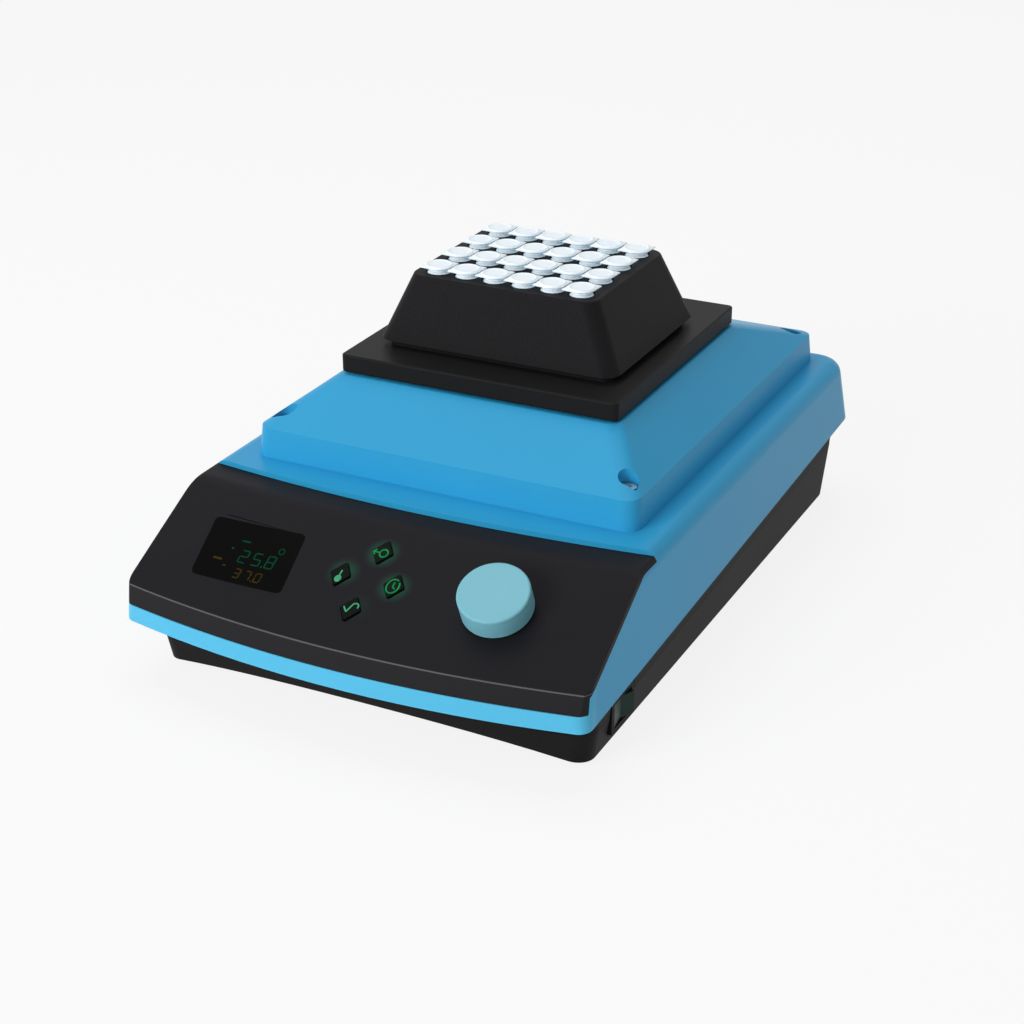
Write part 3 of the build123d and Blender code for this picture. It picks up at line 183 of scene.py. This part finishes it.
def onSlope(x, s, lift):
    # the point at x, s mm up the slope: straight lines from the crease's parabola to the roll's, lifted
    # along the normal, which is the cross product of the two directions along the surface
    share = s / slopeRun
    bow = (x / slope["halfWidth"]) ** 2
    low = slope["creaseY"] + slope["creaseBow"] * bow
    high = slope["rollY"] + slope["rollBow"] * bow
    rise = slope["rollZ"] - slope["creaseZ"]
    spot = np.stack([x, low + share * (high - low), slope["creaseZ"] + share * rise], -1)
    bend = slope["creaseBow"] + share * (slope["rollBow"] - slope["creaseBow"])
    turn = 2 * x / slope["halfWidth"] ** 2 * bend
    flat = np.zeros_like(turn)
    across = np.stack([flat + 1, turn, flat], -1)
    upward = np.stack([flat, high - low, flat + rise], -1)
    normal = np.cross(across, upward)
    normal /= np.linalg.norm(normal, axis=-1, keepdims=True)
    return spot + normal * np.asarray(lift)[..., None]


def piece(name, parts, graph, body):
    # a new piece from closed forms, each an array of points in mm and a list of faces
    points, faces, start = [], [], 0
    for spots, polygons in parts:
        spots = np.asarray(spots).reshape(-1, 3)
        points.append(spots)
        faces += [tuple(start + corner for corner in polygon) for polygon in polygons]
        start += len(spots)
    mesh = bpy.data.meshes.new(name)
    mesh.from_pydata((np.concatenate(points) * mm).tolist(), [], faces)
    mesh.materials.append(graph.material)
    made = bpy.data.objects.new(name, mesh)
    bpy.context.scene.collection.objects.link(made)
    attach(made, body)
    return made


def gridFaces(rows, columns):
    # the quads of a grid whose last column meets its first, and one polygon to close each end
    i, j = np.meshgrid(np.arange(rows - 1), np.arange(columns), indexing="ij")
    k = (j + 1) % columns
    quads = np.stack([i * columns + j, i * columns + k, (i + 1) * columns + k, (i + 1) * columns + j], -1)
    last = (rows - 1) * columns
    return quads.reshape(-1, 4).tolist() + [list(range(columns))[::-1], list(range(last, last + columns))]


# blue housing
blueLook = {
    "colour": (0.028, 0.365, 0.670), "colourFar": (0.031, 0.380, 0.690), "speckColour": (0.06, 0.46, 0.78),
    "speck": 0.12, "driftScale": 9.0, "grainScale": 2600.0, "roughness": 0.33, "roughSpread": 0.06,
    "bump": 0.00002, "constants": {"Specular_IOR_Level": 0.15},
    "lipPaintedLight": (0.10, 0.54, 0.83), "lipBack": 0.147, "lipFront": 0.157,
}
blue = plastic("housingBlue", blueLook)
# the lip under the panel is painted paler than the rest: painted light, for the front light that falls on it
blue.paint((0 - blue.axis("Y")).ramp(blueLook["lipBack"], blueLook["lipFront"]), blueLook["lipPaintedLight"])
dress(blue, "upper_housing", "drive_cover")

# black panel, with the green light of the keys around them
keyNames = ("key_top", "key_left", "key_right", "key_bottom")
keyMiddles = {name: tuple(sum(pair) / 2 for pair in zip(*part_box(name))) for name in keyNames}
haloLook = {
    "reach": 0.0095, "colour": (0.004, 0.105, 0.050),
    "power": {"key_top": 1.0, "key_left": 0.9, "key_right": 1.0, "key_bottom": 0.15},
    "shift": {"key_top": (0.0, 0.0), "key_left": (0.0006, 0.0018), "key_right": (0.0, 0.0),
              "key_bottom": (0.002, 0.002)},
}
keyGlow = dict(haloLook, reach=0.0060, colour=(0.0, 0.030, 0.013),
               power={"key_top": 1.0, "key_left": 0.6, "key_right": 0.9, "key_bottom": 0.08})


def glow(graph, look):
    # the sum of one soft green spot for each key
    total = 0.0
    for name, spot in keyMiddles.items():
        right, ahead = look["shift"][name]
        middle = (spot[0] + right, spot[1] + ahead, spot[2])
        total = total + graph.near(middle, look["reach"]) * look["power"][name]
    graph.feed(Emission_Color=graph.mix(total, (0.0, 0.0, 0.0), look["colour"]), Emission_Strength=1.0)


creaseHighlightLook = {
    "height": 0.0450, "half": 0.0003, "colour": (0.13, 0.12, 0.135), "below": (0.021, 0.0205, 0.0235),
}
panelLook = {
    "colour": (0.0105, 0.0102, 0.0128), "colourFar": (0.0125, 0.0122, 0.0150),
    "speckColour": (0.03, 0.03, 0.035), "speck": 0.10,
    "driftScale": 14.0, "grainScale": 3200.0, "roughness": 0.40, "roughSpread": 0.08,
    "bump": 0.000012, "constants": {"Specular_IOR_Level": 0.05},
}
panel = plastic("panelBlack", panelLook)
glow(panel, haloLook)
# the strip below the crease is lighter, and a painted highlight along the crease's edge stands for the light
# it catches: a pale line at its height
above = panel.axis("Z") - creaseHighlightLook["height"]
panel.paint(1 - above.ramp(-creaseHighlightLook["half"], 0.0), creaseHighlightLook["below"])
apart = above.size()
panel.paint(1 - apart.ramp(0.4 * creaseHighlightLook["half"], creaseHighlightLook["half"]), creaseHighlightLook["colour"])
dress(panel, "control_panel")
keyLook = dict(panelLook, colour=(0.0012, 0.0016, 0.0016), colourFar=(0.0016, 0.0020, 0.0020), speck=0.03)
keys = plastic("keyBlack", keyLook)
glow(keys, keyGlow)
dress(keys, *keyNames)

# black tray
trayLook = {
    "colour": (0.0105, 0.0102, 0.0102), "colourFar": (0.0130, 0.0127, 0.0127),
    "speckColour": (0.04, 0.04, 0.04), "speck": 0.15,
    "driftScale": 11.0, "grainScale": 1500.0, "roughness": 0.5, "roughSpread": 0.1,
    "bump": 0.00004, "constants": {"Specular_IOR_Level": 0.05},
}
tray = plastic("trayBlack", trayLook)
dress(tray, "base_tray", "rocker_frame", "mains_inlet")

# platform and shroud
platformLook = dict(trayLook, colour=(0.0110, 0.0112, 0.0115), roughness=0.36, bump=0.00002,
                    grainScale=2200.0)
platform = plastic("platformBlack", platformLook)
dress(platform, "platform")
shroudLook = dict(trayLook, colour=(0.0098, 0.0096, 0.0110), colourFar=(0.0112, 0.0110, 0.0125),
                  roughness=0.46)
shroud = plastic("shroudBlack", shroudLook)
dress(shroud, "block_shroud")

# knob
knobLook = {
    "colour": (0.190, 0.500, 0.600), "colourFar": (0.200, 0.52, 0.62), "speckColour": (0.33, 0.66, 0.76),
    "speck": 0.15, "driftScale": 60.0, "grainScale": 2800.0, "roughness": 0.45, "roughSpread": 0.08,
    "bump": 0.000015, "constants": {"Specular_IOR_Level": 0.35},
}
knob = plastic("knobBlue", knobLook)
dress(knob, "setting_knob")

# rocker, rubber, metals and the inner pieces
rockerLook = dict(panelLook, colour=(0.004, 0.024, 0.016), colourFar=(0.005, 0.034, 0.022), roughness=0.3,
                  constants={"Specular_IOR_Level": 0.1})
rocker = plastic("rockerGreen", rockerLook)
dress(rocker, "rocker")
rubberLook = dict(trayLook, roughness=0.8, grainScale=900.0)
rubber = plastic("rubberBlack", rubberLook)
dress(rubber, "feet", "drive_belt")
metalLook = {
    "colour": (0.52, 0.52, 0.52), "colourFar": (0.60, 0.60, 0.60), "speckColour": (0.75, 0.75, 0.75),
    "speck": 0.3, "driftScale": 80.0, "grainScale": 1800.0, "roughness": 0.3, "roughSpread": 0.12,
    "bump": 0.00001, "constants": {"Metallic": 1.0},
}
whiteLook = dict(metalLook, colour=(0.7, 0.7, 0.68), colourFar=(0.72, 0.72, 0.70), constants={})
boardLook = dict(panelLook, colour=(0.02, 0.12, 0.05), colourFar=(0.022, 0.13, 0.055))
heaterLook = dict(panelLook, colour=(0.28, 0.05, 0.02), colourFar=(0.30, 0.06, 0.03))
bySlot = {
    "steel": plastic("steel", metalLook),
    "aluminium": plastic("aluminium", dict(metalLook, colour=(0.72, 0.72, 0.73), roughness=0.36)),
    "brass": plastic("brass", dict(metalLook, colour=(0.62, 0.44, 0.18), colourFar=(0.66, 0.48, 0.20))),
    "board_green": plastic("boardGreen", boardLook),
    "white_plastic": plastic("whitePart", whiteLook),
    "heater_red": plastic("heaterRed", heaterLook),
    "switch_black": tray,
}
for part in frame["record"]["subparts"]:
    if part["material_slot"] in bySlot:
        dress(bySlot[part["material_slot"]], part["node"])
print("stage: materials of the fixed parts")

# the display window: a glossy dark pane over the slope, its frame a little turned and sheared on the bow
windowSet = {
    "x": -60.4, "s": 34.1, "width": 46.4, "height": 32.2,
    "turn": math.tan(math.radians(3.3)), "lean": math.tan(math.radians(-6.8)),
    "corner": 2.5, "low": -0.45, "high": 0.05,
}
glassLook = {
    "colour": (0.0030, 0.0031, 0.0029), "colourFar": (0.0036, 0.0037, 0.0035),
    "speckColour": (0.008, 0.009, 0.008), "speck": 0.05,
    "driftScale": 40.0, "grainScale": 3000.0, "roughness": 0.22, "roughSpread": 0.05,
    "bump": 0.000003, "constants": {"Specular_IOR_Level": 0.01},
}


def windowPlace(across, upward):
    # from the window's own axes, in mm from its middle, to x and to the distance s up the slope
    x = windowSet["x"] + across + upward * windowSet["lean"]
    return x, windowSet["s"] + upward + across * windowSet["turn"]


def roundedOutline(width, height, corner, steps=8):
    # a rounded rectangle: four arcs of a quarter turn, each about the middle of its own corner, then points
    # at even steps along the whole line, 1 mm apart or less, so that it follows the bow
    turn = np.arange(4)[:, None] * math.pi / 2 + np.linspace(0, math.pi / 2, steps)
    x = np.array([1, -1, -1, 1])[:, None] * (width / 2 - corner) + corner * np.cos(turn)
    y = np.array([1, 1, -1, -1])[:, None] * (height / 2 - corner) + corner * np.sin(turn)
    x, y = np.append(x, x.flat[0]), np.append(y, y.flat[0])
    length = np.append(0, np.cumsum(np.hypot(np.diff(x), np.diff(y))))
    spots = np.linspace(0, length[-1], max(4 * steps, math.ceil(length[-1])), endpoint=False)
    return np.interp(spots, length, x), np.interp(spots, length, y)


def slab(x, y, place, low, high, rings=7):
    # a thin closed form over the slope: an outline drawn in towards its middle in rings, under and over
    share = np.linspace(1.0, 0.02, rings)[:, None]
    across = x.mean() + (x - x.mean()) * share
    upward = y.mean() + (y - y.mean()) * share
    along, distance = place(across, upward)
    under = onSlope(along, distance, np.full(along.shape, low))
    over = onSlope(along, distance, np.full(along.shape, high))
    return np.concatenate([under[::-1], over]), gridFaces(2 * rings, len(x))


def stroke(x, y, width, place, low, high):
    # a flat line along a path: at each point a closed section of four corners, half a width to each side
    x, y = np.asarray(x, float), np.asarray(y, float)
    turn = np.arctan2(np.gradient(y), np.gradient(x))
    sideX, sideY = -np.sin(turn) * width / 2, np.cos(turn) * width / 2
    corners = []
    for side, height in ((-1, low), (1, low), (1, high), (-1, high)):
        along, distance = place(x + side * sideX, y + side * sideY)
        corners.append(onSlope(along, distance, np.full(along.shape, height)))
    return np.stack(corners, 1), gridFaces(len(x), 4)


# what closes the panel's square-cut recess round the window, flush with the panel
surroundSet = {
    "x": -60.5, "s": 34.0, "width": 47.9, "height": 33.8, "lean": 0.083, "corner": 2.8,
    "low": -0.45, "high": 0.02,
}


def surroundPlace(across, upward):
    return surroundSet["x"] + across + upward * surroundSet["lean"], surroundSet["s"] + upward


x, y = roundedOutline(surroundSet["width"], surroundSet["height"], surroundSet["corner"])
form = slab(x, y, surroundPlace, surroundSet["low"], surroundSet["high"])
surround = piece("windowSurround", [form], panel, "housing")

glass = plastic("displayGlass", glassLook)
x, y = roundedOutline(windowSet["width"], windowSet["height"], windowSet["corner"])
form = slab(x, y, windowPlace, windowSet["low"], windowSet["high"])
pane = piece("displayGlass", [form], glass, "housing")
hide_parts("window_pane")

# the lit digits: seven strokes each, told by the letters of the strokes that are lit
digitSet = {
    "low": 0.04, "high": 0.08, "stroke": 0.62, "gap": 0.35,
    "lean": math.tan(math.radians(6.0)),
    "rows": {
        "measuredValue": {"text": "25.8", "x": -1.2, "y": -1.75, "pitch": 6.8, "width": 3.7, "height": 6.4,
                          "dot": 0.5, "colour": (0.0015, 0.075, 0.030)},
        "setValue": {"text": "37.0", "x": -0.9, "y": -10.8, "pitch": 5.3, "width": 2.8, "height": 4.6,
                     "dot": 0.4, "colour": (0.055, 0.036, 0.004)},
    },
}
strokesOf = {"0": "abcdef", "2": "abged", "3": "abgcd", "5": "afgcd", "7": "abc", "8": "abcdefg"}
strokeEnds = {  # from and to, as shares of half the width and half the height
    "a": ((-1, 1), (1, 1)), "b": ((1, 1), (1, 0)), "c": ((1, 0), (1, -1)), "d": ((-1, -1), (1, -1)),
    "e": ((-1, 0), (-1, -1)), "f": ((-1, 1), (-1, 0)), "g": ((-1, 0), (1, 0)),
}


def lit(name, colour):
    graph = Graph(name)
    tone = graph.noise(400.0).ramp(0.2, 0.8)
    dim = tuple(0.6 * part for part in colour)
    graph.feed(Base_Color=(0.002, 0.002, 0.002, 1.0), Emission_Color=graph.mix(tone, dim, colour),
               Emission_Strength=1.0, Roughness=0.5, Specular_IOR_Level=0.0)
    return graph


def digitForms(row):
    forms, spot = [], 0.0
    for sign in row["text"]:
        if sign == ".":
            middle = row["x"] + (spot - 0.5) * row["pitch"]
            x, y = roundedOutline(2 * row["dot"], 2 * row["dot"], 0.9 * row["dot"], 3)
            forms.append((x + middle, y + row["y"] - row["height"] / 2))
            continue
        for letter in strokesOf[sign]:
            (x0, y0), (x1, y1) = strokeEnds[letter]
            ends = np.array([[x0, y0], [x1, y1]]) * (row["width"] / 2, row["height"] / 2)
            run = ends[1] - ends[0]
            run /= np.linalg.norm(run)
            half = np.array([-run[1], run[0]]) * digitSet["stroke"] / 2
            ends = ends + np.array([run, -run]) * digitSet["gap"]
            tip = run * digitSet["stroke"] / 2
            corners = [ends[0] - half, ends[0] - tip, ends[0] + half,
                       ends[1] + half, ends[1] + tip, ends[1] - half]
            x, y = np.array(corners[::-1]).T
            forms.append((x + y * digitSet["lean"] + row["x"] + spot * row["pitch"], y + row["y"]))
        spot += 1
    return forms


def signForms(bars, dots):
    # plain bars and dots beside the digits: middle x and y, width, height
    forms = []
    for middleX, middleY, width, height in bars + dots:
        x, y = roundedOutline(width, height, 0.45 * min(width, height), 4)
        forms.append((x + middleX, y + middleY))
    return forms


markSet = {
    "measuredValue": ([(-3.1, 6.2, 4.6, 0.9)], [(-8.2, 1.4, 1.1, 1.1)]),
    "setValue": ([(-13.3, -5.4, 4.8, 1.1), (-8.7, -8.2, 1.8, 0.7)], []),
}
for name, row in digitSet["rows"].items():
    forms = digitForms(row) + signForms(*markSet[name])
    parts = [slab(x, y, windowPlace, digitSet["low"], digitSet["high"], 2) for x, y in forms]
    if name == "measuredValue":
        turn = np.linspace(0, 2 * math.pi, 25)
        parts.append(stroke(15.4 + 1.3 * np.cos(turn), 4.9 + 1.5 * np.sin(turn), 0.45, windowPlace,
                            digitSet["low"], digitSet["high"]))
    made = piece(name, parts, lit(name + "Light", row["colour"]), "housing")
print("stage: display")

# the keys' symbols: each a few strokes in mm from the key's middle, on its face
symbolSet = {
    "low": 0.86, "high": 0.97, "stroke": 0.62, "colour": (0.012, 0.34, 0.090), "pale": (0.085, 0.50, 0.240),
}
keySpots = {
    "key_top": (-1.4, 51.7), "key_left": (-14.1, 36.3), "key_right": (11.3, 36.3), "key_bottom": (-1.4, 20.9),
}


def arc(x, y, radiusX, radiusY, start, end, steps=17):
    turn = np.radians(np.linspace(start, end, steps))
    return x + radiusX * np.cos(turn), y + radiusY * np.sin(turn)


def joined(*corners):
    # a path through the corners with short even steps between them
    spots = np.array(corners, float)
    share = np.linspace(0, len(spots) - 1, 6 * (len(spots) - 1) + 1)
    return tuple(np.interp(share, np.arange(len(spots)), spots[:, axis]) for axis in (0, 1))


symbolPaths = {
    "key_top": [arc(0.9, -0.7, 1.8, 2.0, 0, 360, 25), joined((-1.2, -0.7), (-4.0, -0.7)),
                joined((-2.8, 0.7), (-4.0, -0.7), (-2.8, -2.1))],
    "key_left": [joined((0.2, 1.8), (0.1, -1.6))],
    "key_right": [arc(-0.1, -0.3, 2.7, 3.6, 60, 400, 33), joined((-0.1, -0.6), (-0.1, 1.9)),
                  joined((-0.1, -0.6), (1.1, -1.5))],
    "key_bottom": [joined((-3.0, 0.2), (-0.9, -2.2), (0.6, 2.4), (1.8, 2.9)),
                   arc(1.8, 1.2, 1.4, 1.7, 90, -20)],
}
green = lit("symbolGreen", symbolSet["colour"])
pale = lit("symbolPale", symbolSet["pale"])
symbolLight = {"key_top": green, "key_left": pale, "key_right": green, "key_bottom": pale}
for name, (keyX, keyS) in keySpots.items():
    def keyPlace(x, y, keyX=keyX, keyS=keyS):
        return keyX + x, keyS + y
    parts = [stroke(x, y, symbolSet["stroke"], keyPlace, symbolSet["low"], symbolSet["high"])
             for x, y in symbolPaths[name]]
    if name == "key_left":
        x, y = arc(0.2, -2.7, 1.5, 1.8, 0, 345, 24)
        parts.append(slab(x, y, keyPlace, symbolSet["low"], symbolSet["high"], 3))
    made = piece("symbol_" + name, parts, symbolLight[name], name + "_body")
print("stage: key symbols")

# sample tubes: a turned surface, whose cap swells from a circle to a leaf with two tips
tubeSet = {
    "columns": 6, "rows": 4, "pitch": 14.18, "rowPitch": 20.3, "middleY": 25.0, "segments": 48,
    "sharp": math.radians(38.0),
    "leafRadius": 6.5, "leafTip": 9.1, "leafTurn": math.radians(40.0),
    "low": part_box("block_shroud")[1][2] / mm + 0.1,
}
tubeProfile = np.array([  # radius, height over the block, share of the leaf
    (0.3, -37.0, 0), (1.3, -36.9, 0), (1.8, -36.2, 0), (5.2, -20.0, 0), (5.4, -6.0, 0), (5.4, -0.6, 0),
    (5.0, -0.3, 0), (4.7, 0.0, 0), (4.7, 0.6, 0), (5.0, 0.8, 0), (5.0, 1.0, 0), (4.7, 1.2, 0), (4.7, 1.7, 0),
    (5.2, 2.0, 0.1), (6.3, 2.1, 0.9), (6.5, 2.3, 1), (6.5, 2.7, 1), (6.35, 2.9, 0.9), (6.2, 2.95, 0.3),
    (6.1, 3.1, 0), (6.0, 3.3, 0), (5.7, 3.4, 0), (5.3, 3.38, 0), (5.0, 3.2, 0), (4.7, 3.1, 0),
    (2.4, 3.12, 0), (0.3, 3.15, 0),
])


def tubeForm(middleX, middleY):
    # radius by angle: the profile's, and for the leaf the straight lines from each tip that touch the circle,
    # which run at the circle's radius over the cosine of the angle from where they touch
    turn = np.linspace(0, 2 * math.pi, tubeSet["segments"], endpoint=False)
    apart = np.abs((turn + math.pi / 2) % math.pi - math.pi / 2)
    touch = math.acos(tubeSet["leafRadius"] / tubeSet["leafTip"])
    leaf = tubeSet["leafRadius"] / np.cos(np.maximum(touch - apart, 0)) - tubeSet["leafRadius"]
    radius = tubeProfile[:, :1] + tubeProfile[:, 2:] * leaf
    height = np.broadcast_to(tubeProfile[:, 1:2], radius.shape) + tubeSet["low"]
    angle = turn + tubeSet["leafTurn"]
    points = np.stack([middleX + radius * np.cos(angle), middleY + radius * np.sin(angle), height], -1)
    return points, gridFaces(*radius.shape)


# the caps glow faintly: painted light, an emission standing for light that passes through the clear plastic
capGlowLook = {
    "colour": (0.90, 0.96, 1.0), "colourFar": (0.94, 0.98, 1.0), "speckColour": (0.97, 1.0, 1.0),
    "speck": 0.3, "driftScale": 120.0, "grainScale": 2500.0, "roughness": 0.26, "roughSpread": 0.1,
    "bump": 0.00001,
    "constants": {"Emission_Color": (0.06, 0.10, 0.13, 1.0), "Emission_Strength": 1.0},
}
tubes = plastic("tubeClear", capGlowLook)
dress(tubes, "tube_row_1", "tube_row_2", "tube_row_3", "tube_row_4")
columns = (np.arange(tubeSet["columns"]) - (tubeSet["columns"] - 1) / 2) * tubeSet["pitch"]
for row in range(tubeSet["rows"]):
    middleY = tubeSet["middleY"] + (row - (tubeSet["rows"] - 1) / 2) * tubeSet["rowPitch"]
    number = str(row + 1)
    made = piece("tubes_" + number, [tubeForm(x, middleY) for x in columns], tubes, "tubes_" + number)
    made.data.shade_smooth()
    made.data.set_sharp_from_angle(angle=tubeSet["sharp"])
    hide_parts("tube_row_" + number)
print("stage: sample tubes")


def ground(name, size):
    half = size / 2
    mesh = bpy.data.meshes.new(name)
    corners = [(-half, -half, 0), (half, -half, 0), (half, half, 0), (-half, half, 0)]
    mesh.from_pydata(corners, [], [(0, 1, 2, 3)])
    floor = bpy.data.objects.new(name, mesh)
    bpy.context.scene.collection.objects.link(floor)
    graph = Graph(name + "Paint")
    graph.feed(Base_Color=(0.88, 0.88, 0.88, 1.0), Roughness=0.9)
    mesh.materials.append(graph.material)
    whiten(graph, graph.shader.outputs[0], graph.tree.nodes["Material Output"].inputs["Surface"], 0.85)


def whiten(graph, lit, target, share):
    # what the camera, gloss and glass see turns white by a share; all other light keeps the lit surface
    rays = [graph.node("ShaderNodeLightPath", {}, {}, name) for name in
            ("Is Camera Ray", "Is Glossy Ray", "Is Transmission Ray")]
    seen = (rays[0] + rays[1] + rays[2]) * share
    white = graph.node("ShaderNodeEmission", {}, {"Color": (1.0, 1.0, 1.0, 1.0), "Strength": 1.0})
    mixed = graph.node("ShaderNodeMixShader", {}, {0: seen, 1: Value(graph, lit), 2: white})
    graph.tree.links.new(mixed.socket, target)


ground("tableTop", 12.0)

lights = {
    "keyLight": {"width": 1.5, "height": 1.0, "power": 38.0, "spot": (-0.8, -2.2, 1.0)},
    "topLight": {"width": 1.6, "height": 1.6, "power": 12.0, "spot": (-0.3, 0.3, 1.9)},
    "sideLight": {"width": 0.9, "height": 1.2, "power": 1.0, "spot": (1.7, -0.2, 0.9)},
}
lightAim = Vector((0.0, 0.0, 0.05))


def soft(name, settings):
    lamp = bpy.data.lights.new(name, "AREA")
    lamp.shape = "RECTANGLE"
    lamp.size = settings["width"]
    lamp.size_y = settings["height"]
    lamp.energy = settings["power"]
    holder = bpy.data.objects.new(name, lamp)
    bpy.context.scene.collection.objects.link(holder)
    spot = Vector(settings["spot"])
    turn = (lightAim - spot).to_track_quat("-Z", "Y")
    holder.matrix_world = Matrix.Translation(spot) @ turn.to_matrix().to_4x4()


for name, settings in lights.items():
    soft(name, settings)

roomSet = {"colour": (1.0, 1.0, 1.0, 1.0), "strength": 0.26}


class Room(Graph):
    # the world's own node tree, with the same helpers
    def __init__(self, world):
        self.tree = world.node_tree


world = bpy.data.worlds.new("paleRoom")
world.use_nodes = True
room = Room(world)
backdrop = world.node_tree.nodes["Background"]
backdrop.inputs[0].default_value = roomSet["colour"]
backdrop.inputs[1].default_value = roomSet["strength"]
whiten(room, backdrop.outputs[0], world.node_tree.nodes["World Output"].inputs[0], 1.0)
bpy.context.scene.world = world
bpy.context.scene.view_settings.view_transform = "Standard"
print("stage: floor, lights, world")

# the photograph's camera
cameraSet = {"spot": (0.3897, -0.7856, 0.4520), "yaw": 26.482, "pitch": 25.442, "roll": -0.142, "lens": 72.32}


def makeCamera(settings):
    yaw, pitch, roll = (math.radians(settings[key]) for key in ("yaw", "pitch", "roll"))
    right = Vector((math.cos(yaw), math.sin(yaw), 0))
    ahead = Vector((-math.sin(yaw) * math.cos(pitch), math.cos(yaw) * math.cos(pitch), -math.sin(pitch)))
    up = right.cross(ahead)
    rolledRight = right * math.cos(roll) + up * math.sin(roll)
    rolledUp = up * math.cos(roll) - right * math.sin(roll)
    lens = bpy.data.cameras.new("photoCamera")
    lens.lens = settings["lens"]
    lens.sensor_width = 36.0
    lens.clip_start = 0.05
    camera = bpy.data.objects.new("photoCamera", lens)
    bpy.context.scene.collection.objects.link(camera)
    turn = Matrix((rolledRight, rolledUp, -ahead)).transposed()
    camera.matrix_world = Matrix.Translation(Vector(settings["spot"])) @ turn.to_4x4()
    bpy.context.scene.camera = camera


makeCamera(cameraSet)
print("stage: camera")
